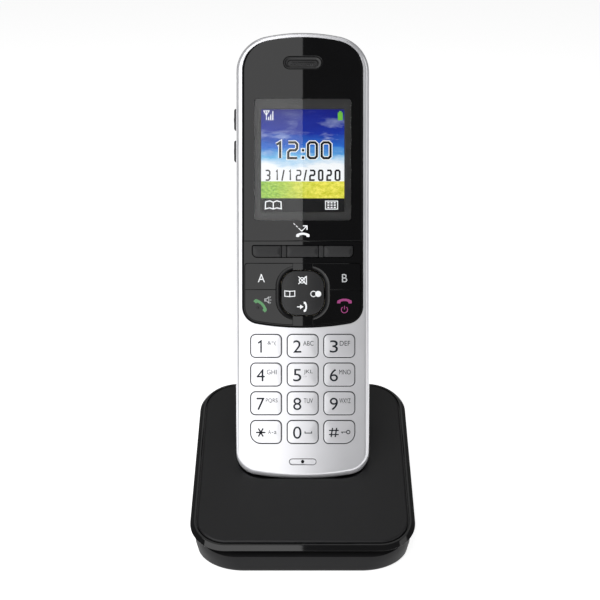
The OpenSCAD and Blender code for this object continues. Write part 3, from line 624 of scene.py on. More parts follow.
def stroke(points, width, closed=False):
    """The outline of a line of even width through points: one loop, or two if it is closed."""
    pts = [Vector(p[:2]) for p in points]
    n = len(pts)
    left, right = [], []
    for i in range(n):
        before = pts[i] - pts[i - 1] if (closed or i > 0) else pts[1] - pts[0]
        after = pts[(i + 1) % n] - pts[i] if (closed or i < n - 1) else pts[-1] - pts[-2]
        a, b = before.normalized(), after.normalized()
        normal = Vector((-(a + b).y, (a + b).x)).normalized()
        k = width / 2 / max(normal.dot(Vector((-a.y, a.x))), 0.5)
        left.append(tuple(pts[i] + normal * k))
        right.append(tuple(pts[i] - normal * k))
    return [left, right] if closed else [right + left[::-1]]


def strokes(width, *paths):
    return [stroke(path, width) for path in paths]


def area(outline):
    return sum(a[0] * b[1] - b[0] * a[1] for a, b in zip(outline, outline[1:] + outline[:1])) / 2


def ink(name, body, slot, material, shapes, d, thick=0.035):
    """Thin raised print, and thin lines of painted shade. Each shape is glyphs, or a list of loops: an edge, and
    then its holes.
    """
    form = Form()
    above = (lambda x, z: d(x, z) - thick) if callable(d) else d - thick
    for loops in shapes:
        if isinstance(loops, dict):
            form.letters(loops["points"], loops["faces"], d, thick)
            continue
        loops = [loop if (area(loop) > 0) == (i == 0) else loop[::-1]
                 for i, loop in enumerate(sorted(loops, key=lambda l: -abs(area(l))))]
        rings = [(form.ring(loop, above), form.ring(loop, d)) for loop in loops]
        for pair in rings:
            form.skin(pair, soft=False)
        form.cap([front for front, _ in rings])
        form.cap([back for _, back in rings])
    return form.piece(name, material, body, slot, weld=False)


def glyphs(text, x, z, height, width=None):
    """A line of text in the built-in font, with its middle at (x, z) and this height."""
    curve = bpy.data.curves.new("glyphs", "FONT")
    curve.body = text
    curve.size = 1
    curve.resolution_u = 5
    probe = linked("glyphs", curve)
    mesh = evaluated_mesh(probe)
    bpy.data.objects.remove(probe)
    co = [v.co.copy() for v in mesh.vertices]
    x0, x1 = min(c.x for c in co), max(c.x for c in co)
    z0, z1 = min(c.y for c in co), max(c.y for c in co)
    k = height / (z1 - z0)
    kx = width / (x1 - x0) if width else k
    points = [(x + (c.x - (x0 + x1) / 2) * kx, z + (c.y - (z0 + z1) / 2) * k) for c in co]
    faces = [list(polygon.vertices) for polygon in mesh.polygons]
    bpy.data.meshes.remove(mesh)
    return [{"points": points, "faces": faces}]


# The small print beside each digit, and its width
LETTERS = {"key_1": ("&*(", 3.0), "key_2": ("ABC", 3.6), "key_3": ("DEF", 3.6), "key_4": ("GHI", 3.4),
           "key_5": ("JKL", 3.1), "key_6": ("MNO", 4.0), "key_7": ("PQRS", 4.1), "key_8": ("TUV", 3.2),
           "key_9": ("WXYZ", 3.9)}
CAP_D = -0.33


def key_print(name):
    x, z = KEY_AT[name]
    if name == "key_0":
        space = [(x + 0.8, z + 0.25), (x + 0.8, z - 0.35), (x + 3.1, z - 0.35), (x + 3.1, z + 0.25)]
        return glyphs("0", x - 1.9, z - 0.2, 4.3, 2.95) + strokes(0.3, space)
    if name == "key_star":
        star = []
        for a in (0, 60, 120):
            dx, dz = 1.65 * math.cos(math.radians(a)), 1.65 * math.sin(math.radians(a))
            star.append(stroke([(x - 1.85 - dx, z - 0.15 - dz), (x - 1.85 + dx, z - 0.15 + dz)], 0.5))
        return (star + glyphs("A", x + 1.2, z, 1.35, 1.05) + glyphs("a", x + 3.2, z - 0.15, 1.05, 0.85)
                + strokes(0.22, [(x + 1.95, z - 0.1), (x + 2.5, z - 0.1)]))
    if name == "key_hash":
        bars = []
        for k in (-0.72, 0.72):
            bars += strokes(0.46, [(x - 2.15 + k, z - 1.75), (x - 1.65 + k, z + 1.45)])
            bars += strokes(0.4, [(x - 3.6, z - 0.15 + k), (x - 0.2, z - 0.15 + k)])
        lock = [[disc(x + 3.1, z, 0.75, 20), disc(x + 3.1, z, 0.45, 20)]]
        return bars + lock + strokes(0.28, [(x + 2.4, z), (x + 0.6, z)], [(x + 1.0, z), (x + 1.0, z - 0.5)])
    letters, width = LETTERS[name]
    if name == "key_1":
        digit = strokes(0.56, [(x - 2.8, z + 0.95), (x - 1.75, z + 1.7), (x - 1.75, z - 2.35)])
    else:
        digit = glyphs(name[-1], x - 1.9, z - 0.2, 4.3, 2.85)
    return digit + glyphs(letters, x + 1.95, z + 0.9, 1.65, width)


for name in KEY_NAMES:
    ink("print_" + name, name, "silver_plastic", legend_dark, key_print(name), CAP_D + 0.02)

# A dark hairline round each key and the microphone's slot: painted shade, for the shaded edge of the gap
for name in KEY_NAMES:
    ink("edge_" + name, "handset", "silver_plastic", gap_shade_ink,
        [[key_outline(name, -0.14), key_outline(name, 0.18)]], 0.006, thick=0.02)
ink("edge_mic", "handset", "silver_plastic", gap_shade_ink,
    [[stadium(0, MIC_Z, 9.6, 2.3), stadium(0, MIC_Z, 9.2, 1.9)]], 0.006, thick=0.02)
# A dark disc inside the microphone's hole: painted shade, so the hole reads dark
piece(solid(HANDSET, disc(0, MIC_Z, 0.58, 20), 0.6, 0.9, [pivot_black_and_groove_shade], "mic_hole_shade"), "handset", "silver_plastic")

# Raised mark on the middle digit key
dot_x, dot_z = KEY_AT["key_5"]
dot = Form()
dot.tube(stadium(dot_x + 0.8, dot_z - 0.7, 1.3, 0.75),
         [(0.5, CAP_D - 0.16), (0.28, CAP_D - 0.13), (0.1, CAP_D - 0.04), (0, CAP_D + 0.1)])
dot.piece("mark_key_5", silver_key, "key_5", "silver_plastic")

# ---------- Handset: lens and display ----------

EAR_Z = middle("earpiece_grille")[1]
WINDOW_Z = middle("lcd_frame")[1]
WINDOW_W = half_width("lcd_frame") * 2
WINDOW_H = heights("lcd_frame")[1] - heights("lcd_frame")[0]
LCD_HALF = 14.55
LCD_TOP, LCD_FIELD, LCD_BASE = WINDOW_Z + 17.8, WINDOW_Z - 13.3, WINDOW_Z - 18.1


def soft_edge(form, shape, size, n):
    """The edge of a panel plate, with a small rounded front corner."""
    levels = [(size + 0.04, 0)] + [(size * (1 - s), size * (1 - c)) for s, c in quarter(n)]
    return form.wall(shape, levels + [(0, PANEL_D)])


def lens():
    form = Form()
    edge = soft_edge(form, lambda k: clipped(pulled(panel_outline(), k), LENS_LOW + k, True), 0.22, 5)
    window = lambda k: centred(0, WINDOW_Z, WINDOW_W, WINDOW_H, [1.1] * 4, k)
    hole = form.wall(window, [(0, 0), (0, PANEL_D)])
    ear = form.wall(lambda k: stadium(0, EAR_Z, 13.3, 4.2, k),
                    [(-0.3, 0), (-0.22, 0.04), (-0.08, 0.16), (0, 0.4), (0, PANEL_D)])
    form.close(edge, hole, ear)
    form.piece("lens_plate", gloss_black, "handset", "panel_black", "display_lens")
    pane = solid(HANDSET, window(0.004), 0.0, 1.2, [clear], "lens_window")
    piece(pane, "handset", "panel_black")


def ear_insert():
    form = Form()
    rings = form.wall(lambda k: stadium(0, EAR_Z, 13.2, 4.1, k),
                      [(0.8, 0.62), (0.5, 0.5), (0.25, 0.42), (0.06, 0.45), (0, 0.6), (0, PANEL_D)])
    slot = form.wall(lambda k: stadium(0, EAR_Z - 0.1, 10.7, 2.3, k), [(-0.1, 0.62), (0, 0.72), (0.15, 1.15)])
    form.cap([rings[0], slot[0]])
    holes = [form.wall(disc(i * 0.72 + math.copysign(0.18, row), EAR_Z - 0.1 + row, 0.22, 12),
                       [(0, 1.15), (0, PANEL_D)]) for i in range(-5, 6) for row in (-0.38, 0.38)]
    form.close((slot[-1], rings[-1]), *holes)
    form.piece("ear_insert", grille, "handset", "grille_grey", "earpiece_grille")


def display_frame():
    form = Form()
    out = form.wall(centred(0, WINDOW_Z, WINDOW_W - 0.04, WINDOW_H - 0.04, [1.1] * 4), [(0, 1.75), (0, 2.3)])
    hole = form.wall(lambda k: rounded(-LCD_HALF, LCD_BASE, LCD_HALF, LCD_TOP, [0.2] * 4, k, 3),
                     [(-0.25, 1.75), (0, 1.95), (0, 2.3)])
    form.close(out, hole)
    form.piece("display_frame", frame_grey, "handset", "frame_grey", "lcd_frame")


lens()
ear_insert()
display_frame()


def picture_material():
    """The display's picture: blue sky, white clouds and a green and yellow field, all from noise and ramps."""
    shader = Shader("display_picture", {"Roughness": 0.4, "Base Color": (0.01, 0.01, 0.012, 1),
                                        "Specular IOR Level": 0.0, "Emission Strength": 1.0})
    noise, spread, ramp, maths, mix = shader.noise, shader.spread, shader.ramp, shader.maths, shader.mix
    split = shader.node("SeparateXYZ", {"Vector": shader.where})
    across = spread(split.outputs["X"], -LCD_HALF * MM, LCD_HALF * MM)
    height = spread(split.outputs["Y"], LCD_FIELD * MM, LCD_TOP * MM)
    wave = maths("MULTIPLY_ADD", noise(120, 5, 0.5, (1.0, 2.6)), 0.24, maths("SUBTRACT", height, 0.12))
    sky = ramp(wave, [(0.18, rgb(252, 254, 255)), (0.36, rgb(250, 253, 255)), (0.46, rgb(112, 190, 234)),
                      (0.57, rgb(40, 108, 204)), (0.74, rgb(18, 46, 158)), (1.0, rgb(10, 18, 122))])
    wisps = spread(noise(160, 6, 0.62, (0.5, 1.6)), 0.5, 0.72)
    band = maths("MULTIPLY", spread(height, 0.25, 0.45), spread(height, 1.0, 0.6))
    cloud = maths("MULTIPLY", maths("MULTIPLY", wisps, band, clamp=True), 0.8)
    sky = mix(cloud, sky, ramp(height, [(0.0, rgb(255, 255, 255)), (1.0, rgb(214, 232, 250))]))
    left = ramp(noise(900, 4, 0.7, (1.0, 1.6)), [(0.36, rgb(104, 166, 52)), (0.62, rgb(186, 222, 96))])
    right = ramp(noise(700, 4, 0.7, (1.0, 1.8)), [(0.34, rgb(204, 204, 44)), (0.62, rgb(250, 242, 104))])
    field = mix(spread(maths("MULTIPLY_ADD", noise(200, 3), 0.4, across), 0.3, 0.9), left, right)
    edge = maths("LESS_THAN", maths("MULTIPLY_ADD", noise(90), 0.012, height), 0.197)
    shader.feed("Emission Color", mix(edge, sky, field))
    return shader.mat


lit_white = glow("lit_white", rgb(246, 248, 250))
lit_green = glow("lit_green", rgb(110, 190, 60))
lit_black = glow("lit_black", rgb(12, 12, 14))
lit_row = glow("lit_row", rgb(15, 15, 17))
PICTURE_D = 2.3


def display_plate(name, z0, z1, material):
    """A flat plate with its own axes: x across, y up the handset and z out of its face."""
    obj = solid(FLOOR, rect(-LCD_HALF, z0, LCD_HALF, z1), PICTURE_D, PICTURE_D + 0.08, [material], name)
    obj.matrix_world = HANDSET.matrix()
    piece(obj, "handset", "display_glass")


display_plate("display_picture", LCD_FIELD, LCD_TOP, picture_material())
display_plate("display_row", LCD_BASE, LCD_FIELD, lit_row)

# The display's digits, as lines across a unit square. The zero is closed, and the three is two lines.
SEGMENTS = {
    "0": [[(0.22, 0), (0.78, 0), (1, 0.12), (1, 0.88), (0.78, 1), (0.22, 1), (0, 0.88), (0, 0.12)]],
    "1": [[(0.2, 0.86), (1, 1), (1, 0)]],
    "2": [[(0, 1), (0.78, 1), (1, 0.88), (1, 0.62), (0.8, 0.5), (0.2, 0.5), (0, 0.38), (0, 0), (1, 0)]],
    "3": [[(0, 1), (0.72, 1), (1, 0.86), (1, 0.64), (0.78, 0.5), (0.3, 0.5)],
          [(0.78, 0.5), (1, 0.36), (1, 0.14), (0.72, 0), (0, 0)]],
    "/": [[(0.1, -0.06), (0.9, 1.06)]],
}
CLOCK_AT = [(-9.5, 1.6), (-5.05, 3.1), (0.1, 0), (1.85, 3.1), (6.65, 3.1)]
DAY_AT = [(-12.97, 1.44), (-9.37, 0.44), (-7.37, 0.94), (-4.77, 0.44), (-2.17, 1.49), (0.43, 0.94)]
YEAR_AT = [(2.55, 1.62), (5.65, 1.32), (8.55, 1.42), (11.45, 1.5)]


def segment_text(text, spots, z0, height, line):
    """Digits of the display, drawn as lines with cut corners. Spots are (left edge, width)."""
    shapes = []
    for char, (x0, width) in zip(text, spots):
        if char == ":":
            k = line * 0.55
            for cz in (z0 + 0.03 * height, z0 + 0.5 * height):
                shapes.append([rect(x0 - k, cz - k, x0 + k, cz + k)])
            continue
        for path in SEGMENTS[char]:
            shapes.append(stroke([(x0 + px * width, z0 + pz * height) for px, pz in path], line, char == "0"))
    return shapes


def display_ink(name, material, shapes, d, thick=0.01):
    ink(name, "handset", "display_glass", material, shapes, d, thick)


def display_icons():
    """An open book and a keypad in the lower row, and signal bars at the top left."""
    z, x = (LCD_BASE + LCD_FIELD) / 2, -10.3
    book = strokes(0.42, *[[(x, z + 1.0), (x + s * 1.2, z + 1.5), (x + s * 2.7, z + 1.15), (x + s * 2.8, z - 1.3),
                            (x + s * 1.2, z - 0.95), (x, z - 1.4)] for s in (-1, 1)])
    book += strokes(0.4, [(x, z + 1.1), (x, z - 1.5)])
    keypad = [stroke(rect(8.0, z - 1.4, 12.2, z + 1.4), 0.34, True)]
    for i in range(3):
        for j in range(3):
            keypad.append([centred_rect(9.0 + 1.1 * i, z - 0.82 + 0.82 * j, 0.36, 0.24)])
    top = LCD_TOP
    signal = strokes(0.3, [(-13.7, top - 0.5), (-12.7, top - 2.0), (-11.7, top - 0.5)],
                     [(-13.8, top - 0.5), (-11.6, top - 0.5)], [(-12.7, top - 0.6), (-12.7, top - 3.7)])
    for i, h in enumerate((1.2, 2.0, 3.2)):
        x0 = -12.1 + 0.72 * i
        signal.append([rect(x0, top - 3.8, x0 + 0.38, top - 3.8 + h)])
    return book + keypad + signal


display_ink("clock_edge", lit_white, segment_text("12:00", CLOCK_AT, 114.25, 5.5, 1.4), 2.297)
display_ink("clock_digits", lit_black, segment_text("12:00", CLOCK_AT, 114.25, 5.5, 0.8), 2.285)
display_ink("date_digits", lit_black, segment_text("31/12/", DAY_AT, 106.55, 3.4, 0.5)
            + segment_text("2020", YEAR_AT, 106.55, 3.4, 0.62), 2.285)
display_ink("display_icons", lit_white, display_icons(), 2.297, 0.012)
display_ink("battery_icon", lit_green, [[rect(12.3, LCD_TOP - 3.8, 14.0, LCD_TOP - 1.1)],
                                        [rect(12.75, LCD_TOP - 1.1, 13.55, LCD_TOP - 0.6)]], 2.297, 0.012)

# ---------- Handset: function keys ----------

NAV_Z = middle("nav_key")[1]
SOFT_Z = middle("softkey_middle")[1]
SOFT_X = middle("softkey_right")[0]
SOFT_HALF_H, SOFT_HALF, SOFT_MIDDLE_HALF, SOFT_R, SOFT_OUTER_R = 1.975, 5.05, 5.55, 0.5, 1.7
SIDE_TOP = heights("key_a")[1]
SPLIT = (heights("key_a")[0] + heights("key_talk")[1]) / 2
SPLIT_HALF = 0.07
# The bridge joins the bezel's middle to the navigation key, and the ring is the dish round that key
BRIDGE, RING, RING_R, BORDER = 3.4, 9.3, 7.0, 0.42
NAV_W, NAV_H, NAV_R, NAV_GAP = 15.0, 15.6, 5.4, 0.32
NAV_EDGE, NAV_TOP, NAV_CROWN, NAV_STEPS = 0.55, -0.05, 0.3, (0.5, 1.5, 2.8, 4.2, 5.6)


def ring_outline(grow):
    return rounded(-RING, NAV_Z - RING, RING, NAV_Z + RING, [RING_R] * 4, -grow, 18)


def nav_outline(inset=0.0, n=14):
    return centred(0, NAV_Z, NAV_W, NAV_H, [NAV_R] * 4, inset, n)


def soft_outline(i, inset=0.0):
    half = SOFT_MIDDLE_HALF if i == 1 else SOFT_HALF
    radii = [SOFT_OUTER_R if i == 0 else SOFT_R, SOFT_OUTER_R if i == 2 else SOFT_R, SOFT_R, SOFT_R]
    return centred((i - 1) * SOFT_X, SOFT_Z, half * 2, SOFT_HALF_H * 2, radii, inset)


def around_nav(points):
    """Points in order of their angle round the navigation key's middle."""
    return sorted(points, key=lambda p: math.atan2(p[1] - NAV_Z, p[0]))


def side_points(side, upper, k):
    """A key beside the navigation key: k pulls its edge in."""
    grow = 0.1 + k
    ring = ring_outline(grow)
    x0, x1 = BRIDGE + 0.06 + k, PANEL_HALF - BORDER - k
    right = [p for p in ring if p[0] > x0 + 1e-6]
    if upper:
        z0, z1 = SPLIT + SPLIT_HALF + k, SIDE_TOP - k
        curve = around_nav(p for p in right if p[1] > max(NAV_Z, z0))
        points = ([(RING + grow, z0), (x1, z0)] + arc(x1 - 0.9, z1 - 0.9, max(0.9 - k * 0.5, 0.05), 0, 90, 5)
                  + [(x0, z1), (x0, crossing(ring, x0, True))])
    else:
        z1 = SPLIT - SPLIT_HALF - k
        panel = pulled(panel_outline(), BORDER + k)
        low = around_nav(p for p in panel if p[0] > x0 + 1e-6 and p[1] < min(NAV_Z, z1 - 0.5))
        curve = around_nav(p for p in right if p[1] < min(NAV_Z, z1))
        points = ([(x0, crossing(ring, x0, False)), (x0, crossing(panel, x0, False))] + low
                  + [(x1, z1), (RING + grow, z1)])
    points = [(side * p[0], p[1]) for p in points + curve[::-1]]
    return points if side > 0 else points[::-1]


def well_outline():
    """The bezel's opening for the four side keys and the navigation key, with a bridge above and below."""
    nav_hole = nav_outline(-NAV_GAP)
    panel = pulled(panel_outline(), BORDER - 0.2)
    top = SIDE_TOP + 0.18
    half = ([(BRIDGE, crossing(panel, BRIDGE, False))]
            + around_nav(p for p in panel if p[0] > BRIDGE and p[1] < top - 1.2)
            + arc(PANEL_HALF - BORDER - 0.8, top - 1.0, 1.0, 0, 90, 6) + [(BRIDGE, top)])

    def under_bridge(sign):
        near = [p for p in nav_hole if abs(p[0]) < BRIDGE and sign * (p[1] - NAV_Z) > 0]
        z = crossing(nav_hole, BRIDGE, sign > 0)
        return [(sign * BRIDGE, z)] + sorted(near, key=lambda p: -sign * p[0]) + [(-sign * BRIDGE, z)]

    return half + under_bridge(1) + [(-p[0], p[1]) for p in reversed(half)] + under_bridge(-1)


def bezel():
    form = Form()
    edge = soft_edge(form, lambda k: clipped(pulled(panel_outline(), k), LENS_LOW - 0.12 - k, False), 0.06, 3)
    radii = [SOFT_OUTER_R, SOFT_OUTER_R, SOFT_R, SOFT_R]
    hole = form.wall(lambda k: centred(0, SOFT_Z, (SOFT_X + SOFT_HALF) * 2, SOFT_HALF_H * 2, radii, k),
                     [(-0.28, 0), (-0.22, 0.06), (-0.22, PANEL_D)])
    well = form.wall([(*p[:2], 0, 0) for p in well_outline()], [(0, 0), (0, PANEL_D)])
    form.close(edge, well, hole)
    form.piece("bezel_plate", gloss_black, "handset", "panel_black", "function_bezel")
    dish = Form()
    rims = list(zip(ring_outline(0.02), nav_outline(-NAV_GAP, 18)))
    dish.wall(lambda t: [(a[0] * (1 - t) + b[0] * t, a[1] * (1 - t) + b[1] * t) for a, b in rims],
              [(0, 1.66), (0, 0.16), (0.12, 0.2), (0.5, 0.62), (0.9, 1.0), (1, 1.12), (1, 1.66)], loop=True)
    dish.piece("nav_dish", dish_black, "handset", "panel_black")


bezel()

for i, name in enumerate(("softkey_left", "softkey_middle", "softkey_right")):
    form = Form()
    crowned(form, lambda k: soft_outline(i, k), 0.3, -0.12, 2.9, 0.16, steps=(0.4, 0.8, 1.2, 1.6))
    form.post((i - 1) * SOFT_X, SOFT_Z, 1.2, 2.8, 6.0)
    form.piece("cap_" + name, satin_black, name, "key_satin_black", name)

bars = Form()
for s in (-1, 1):
    x0, x1 = sorted((s * (SOFT_MIDDLE_HALF + 0.11), s * (SOFT_X - SOFT_HALF - 0.11)))
    bars.tube(rounded(x0, SOFT_Z - SOFT_HALF_H, x1, SOFT_Z + SOFT_HALF_H, [0.25] * 4),
              [(0.22, -0.2), (0.08, -0.17), (0.0, -0.08), (0.0, 1.9)])
bars.piece("softkey_bars", satin_black, "handset", "key_satin_black")

SIDE_KEYS = {"key_a": (-1, True), "key_talk": (-1, False), "key_b": (1, True), "key_off": (1, False)}
for name, (side, upper) in SIDE_KEYS.items():
    form = Form()
    form.tube(lambda k: side_points(side, upper, k),
              [(0.07, 0.0), (0.05, 0.0), (0.015, 0.02), (0.0, 0.06), (0.0, 2.9)])
    form.post(side * 14.6, 72.6 if upper else 62.7, 1.3, 2.8, 6.0)
    form.piece("cap_" + name, gloss_black, name, "panel_black", name)

nav = Form()
crowned(nav, nav_outline, NAV_EDGE, NAV_TOP, 1.75, NAV_CROWN, NAV_STEPS, fillet_n=8)
nav.post(0, NAV_Z, 2.4, 1.7, 5.4, 32)
for x, z, *_ in disc(0, NAV_Z, 3.9, 4):
    nav.post(x, z, 0.8, 1.7, 6.1, 20)
nav.piece("cap_nav", satin_black, "nav_key", "key_satin_black", "nav_key")

# A thin near-black line across the bridge, level with the side keys' top edge: painted shade of a groove
ink("bridge_line", "handset", "panel_black", pivot_black_and_groove_shade,
    [[rect(-BRIDGE - 0.1, SIDE_TOP, BRIDGE + 0.1, SIDE_TOP + 0.18)]], 0.004, thick=0.008)


def handset_icon(cx, cz, w, tilt):
    """An arched telephone receiver, w wide, turned by tilt degrees."""
    r, mid, neck, ear_drop = w * 0.95, w * 0.16, w * 0.17, w * 0.19
    half = math.degrees(math.asin(0.5 * w / r))
    top = arc(0, mid - r, r, 90 - half, 90 + half, 12)
    low = arc(0, mid - r, r - neck, 90 + half * 0.62, 90 - half * 0.62, 12)
    (ax, az), (bx, bz) = top[-1][:2], top[0][:2]
    shape = (top + [(ax - w * 0.01, az - ear_drop), (ax + w * 0.22, az - ear_drop)] + low
             + [(bx - w * 0.22, bz - ear_drop), (bx + w * 0.01, bz - ear_drop)])
    c, s = math.cos(math.radians(tilt)), math.sin(math.radians(tilt))
    return [softened([(cx + p[0] * c - p[1] * s, cz + p[0] * s + p[1] * c) for p in shape], w * 0.05)]


ink("print_key_a", "key_a", "panel_black", legend_white, glyphs("A", -14.4, 72.2, 2.85, 2.45), 0)
ink("print_key_b", "key_b", "panel_black", legend_grey, glyphs("B", 14.6, 72.2, 2.85, 1.85), 0)
ink("print_talk", "key_talk", "panel_black", legend_green, [handset_icon(-14.5, 62.9, 5.6, -45)], 0)
horn = [(-13.2, 64.25), (-13.2, 64.95), (-12.6, 64.95), (-11.8, 65.65), (-11.8, 63.55), (-12.6, 64.25)]
ink("print_speaker", "key_talk", "panel_black", legend_grey,
    [stroke(horn, 0.3, True)] + strokes(0.26, [(-11.45, 65.45), (-11.1, 65.75)], [(-11.4, 64.6), (-10.95, 64.6)],
                                        [(-11.45, 63.75), (-11.1, 63.45)]), 0)
ink("print_off", "key_off", "panel_black", legend_magenta,
    [handset_icon(14.55, 64.25, 5.0, 0)]
    + strokes(0.3, arc(14.55, 61.2, 1.1, -235, 55, 16), [(14.55, 62.5), (14.55, 61.3)]), 0)
mark = Form()
mark.tube(disc(-15.7, 61.9, 0.5, 20), [(0.3, -0.14), (0.14, -0.11), (0.03, -0.03), (0, 0.1)])
mark.piece("mark_talk", gloss_black, "key_talk", "panel_black")


def dome(x, z):
    """Depth of print on the navigation key's domed face."""
    qx, qz = abs(x) - NAV_W / 2 + NAV_R, abs(z - NAV_Z) - NAV_H / 2 + NAV_R
    k = NAV_R - math.hypot(max(qx, 0), max(qz, 0)) - min(max(qx, qz), 0)
    t = 1 - min(max((k - NAV_EDGE) / NAV_STEPS[-1], 0), 1)
    return 0.01 + NAV_TOP - NAV_CROWN * (1 - t * t)


def nav_icons():
    """An open book, a redial arrow, a crossed-out bell and an incoming call."""
    x, z = -4.5, NAV_Z
    book = strokes(0.3, *[[(x, z + 0.6), (x + s * 1.75, z + 0.75), (x + s * 1.75, z - 1.1), (x, z - 1.25)]
                          for s in (-1, 1)], [(x, z + 0.7), (x, z - 1.4)])
    redial = [[disc(5.4, z - 0.3, 1.05, 28)], stroke(arc(3.75, z - 0.3, 0.95, 40, 320, 18), 0.28)]
    m = z + 4.45
    mute = (strokes(0.28, arc(-0.25, m, 0.95, 0, 350, 20))
            + strokes(0.3, [(1.3, m + 1.4), (-0.1, m), (1.3, m - 1.4)], [(-1.5, m + 1.3), (1.1, m - 1.3)],
                      [(-1.5, m - 1.3), (1.1, m + 1.3)])
            + strokes(0.34, [(1.3, m + 1.5), (1.3, m - 1.5)]))
    incoming = [stroke([(-2.0, z - 4.8), (-0.4, z - 4.8)], 0.34),
                [[(-0.9, z - 4.0), (-0.9, z - 5.6), (0.3, z - 4.8)]], handset_icon(0.95, z - 4.8, 3.5, -90)]
    return book + redial + mute + incoming


ink("print_nav", "nav_key", "key_satin_black", legend_white, nav_icons(), dome)
ink("print_lens", "handset", "panel_black", legend_white,
    [handset_icon(0.05, 87.33, 4.6, 0)] + strokes(0.26, [(-3.2, 91.3), (-2.65, 90.78)])
    + strokes(0.28, [(-2.35, 90.5), (-1.75, 89.93)])
    + strokes(0.32, [(-1.45, 89.65), (-0.35, 88.6), (1.35, 90.25)])
    + strokes(0.4, [(0.1, 90.4), (1.5, 90.4), (1.5, 89.0)]), 0.004)
ink("lens_lip", "handset", "panel_black", frame_grey, strokes(0.14, arc(0.2, 79.1, 6.1, 110, 70, 12)), 0.004,
    thick=0.02)

# ---------- Handset: volume keys ----------


def volume_key(name, has_upright):
    """A side key with a raised plus or minus."""
    z, out = middle(name)[1], -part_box(name)[0].x / MM
    form = Form(FLANK)
    form.tube(lambda k: centred(z, VOLUME_D, 7.7, 3.2, [0.75] * 4, k, 6),
              [(1.1, -out), (0.75, 0.02 - out), (0.5, 0.06 - out), (0.28, 0.18 - out), (0.1, 0.4 - out),
               (0.0, 0.75 - out), (0.0, 2.2 - HALF)])
    for half_z, half_d in [(0.9, 0.16)] + ([(0.16, 0.9)] if has_upright else []):
        form.tube(centred_rect(z, VOLUME_D, half_z, half_d), [(0, -out - 0.07), (0, -out + 0.1)])
    form.piece("cap_" + name, satin_black, name, "key_satin_black", name, weld=False)


volume_key("volume_up_key", True)
volume_key("volume_down_key", False)

# ---------- Handset: rear housing and battery cover ----------

COVER_Z = heights("battery_cover")
COVER_HALF = half_width("battery_cover")
RINGER_Z = middle("ringer_speaker")[1]
SCREWS = [(-12, 9), (12, 9), (-15.5, 146.5), (15.5, 146.5)]
PAD_X = 9
REAR_SIDE = 19
INNER_BACK = 21.6


def cover_outline(inset=0.0):
    return rounded(-COVER_HALF, COVER_Z[0], COVER_HALF, COVER_Z[1], [3] * 4, inset)


def rear_housing():
    form = Form()
    levels = [(1.8, PARTING), (0.25, PARTING), (0, PARTING + 0.3), (0, REAR_SIDE - 0.05)]
    levels += [(7.4 * (1 - c), REAR_SIDE + (THICK - REAR_SIDE) * s) for s, c in quarter(14)]
    rings = form.wall(handset_outline(), levels + [(7.45, THICK)])
    levels = [(1.8, PARTING), (1.8, 18.2)] + [(1.8 + 5.2 * (1 - c), 18.2 + 3.4 * s) for s, c in quarter(7, 1)]
    inner = form.wall(handset_outline(), levels)
    bay = form.wall(cover_outline, [(-0.3, THICK), (-0.18, THICK - 0.12), (-0.18, THICK - 1.75)])
    tray = lambda k: rounded(-12.2, 43.4, 12.2, 92.4, [1.0] * 4, k, 4)
    pocket = form.wall(tray, [(0, THICK - 1.75), (0, 12.0)])
    form.cap([bay[-1], pocket[0]])
    form.cap([pocket[-1]])
    tray_back = form.wall(tray, [(-1.2, INNER_BACK), (-1.2, 10.9)])
    form.cap([tray_back[-1]])
    slots = [form.wall(lambda k: stadium(0, RINGER_Z + row * 2.2, 11 - 2 * abs(row), 1.1, k),
                       [(-0.18, THICK), (-0.05, THICK - 0.05), (0, THICK - 0.2), (0, INNER_BACK)])
             for row in range(-2, 3)]
    form.close((rings[-1], inner[-1]), (bay[0], tray_back[0]), *slots)
    obj = form.build("rear_housing", [case_black])
    cut(obj, rods(HANDSET, SCREWS, 3.4, PARTING + 0.02, 22.4, 40), "UNION")
    cut(obj, rods(HANDSET, SCREWS, 2.2, 15, 27, 40))
    for half, z0, z1, d0, d1 in ((2.3, 0, 2.9, 14.7, 19.3), (1.9, FOOT, 5.9, 15.1, 18.9)):
        cut(obj, [solid(HANDSET, rect(x - half, z0, x + half, z1), d0, d1) for x in (-PAD_X, PAD_X)])
    cut(obj, rods(HANDSET, SCREWS, 1.2, PARTING - 0.5, 15.5))
    piece(obj, "handset", "casing_black", "handset_rear_housing")


def battery_cover():
    form = Form()
    low, edge = THICK - 1.6, 0.35
    levels = [(0, low)] + [(edge * (1 - c), THICK - edge * (1 - s)) for s, c in quarter(5)] + [(0.4, THICK)]
    rings = form.wall(cover_outline, levels)
    form.cap([rings[0]])
    grips = []
    for i in range(-3, 4):
        groove = form.wall(lambda k: stadium(0, 89.35 + i * 1.4, 13, 0.85, k, 8),
                           [(-0.1, THICK), (0.04, THICK - 0.08), (0.16, THICK - 0.4)])
        form.cap([groove[-1]])
        grips.append(groove[0])
    form.cap([rings[-1]] + grips)
    for x in (-11.6, 11.6):
        for z in (55, 82):
            form.tube(centred(x, z, 0.7, 6, [0.2] * 4, 0, 2), [(0, 19.6), (0, low + 0.05)])
    form.piece("cover_battery", case_black, "battery_cover", "casing_black", "battery_cover")


rear_housing()
battery_cover()

# ---------- Base ----------

BASE_SCREWS = ((-27, -23), (27, -23), (-28, 26), (28, 26))
BUTTON_Z = (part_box("locator_button")[0].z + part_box("locator_button")[1].z) / 2 / MM
FOOT_X = 16
SOCKETS = ((-19.6, -6.4), (8, 18))
GAP, CRADLE_WALL = 0.7, 1.5
FLOOR_W, FLOOR_D = 71.8, 71.4
SHELL_TOP = 4.1


def plate_outline(inset=0.0):
    return rounded(-BASE_HALF + inset, -PLATE_HALF_L + inset, BASE_HALF - inset, PLATE_HALF_L - inset,
                   [12.4 - inset, 12.4 - inset, 13.9 - inset, 13.9 - inset], 0, 22)


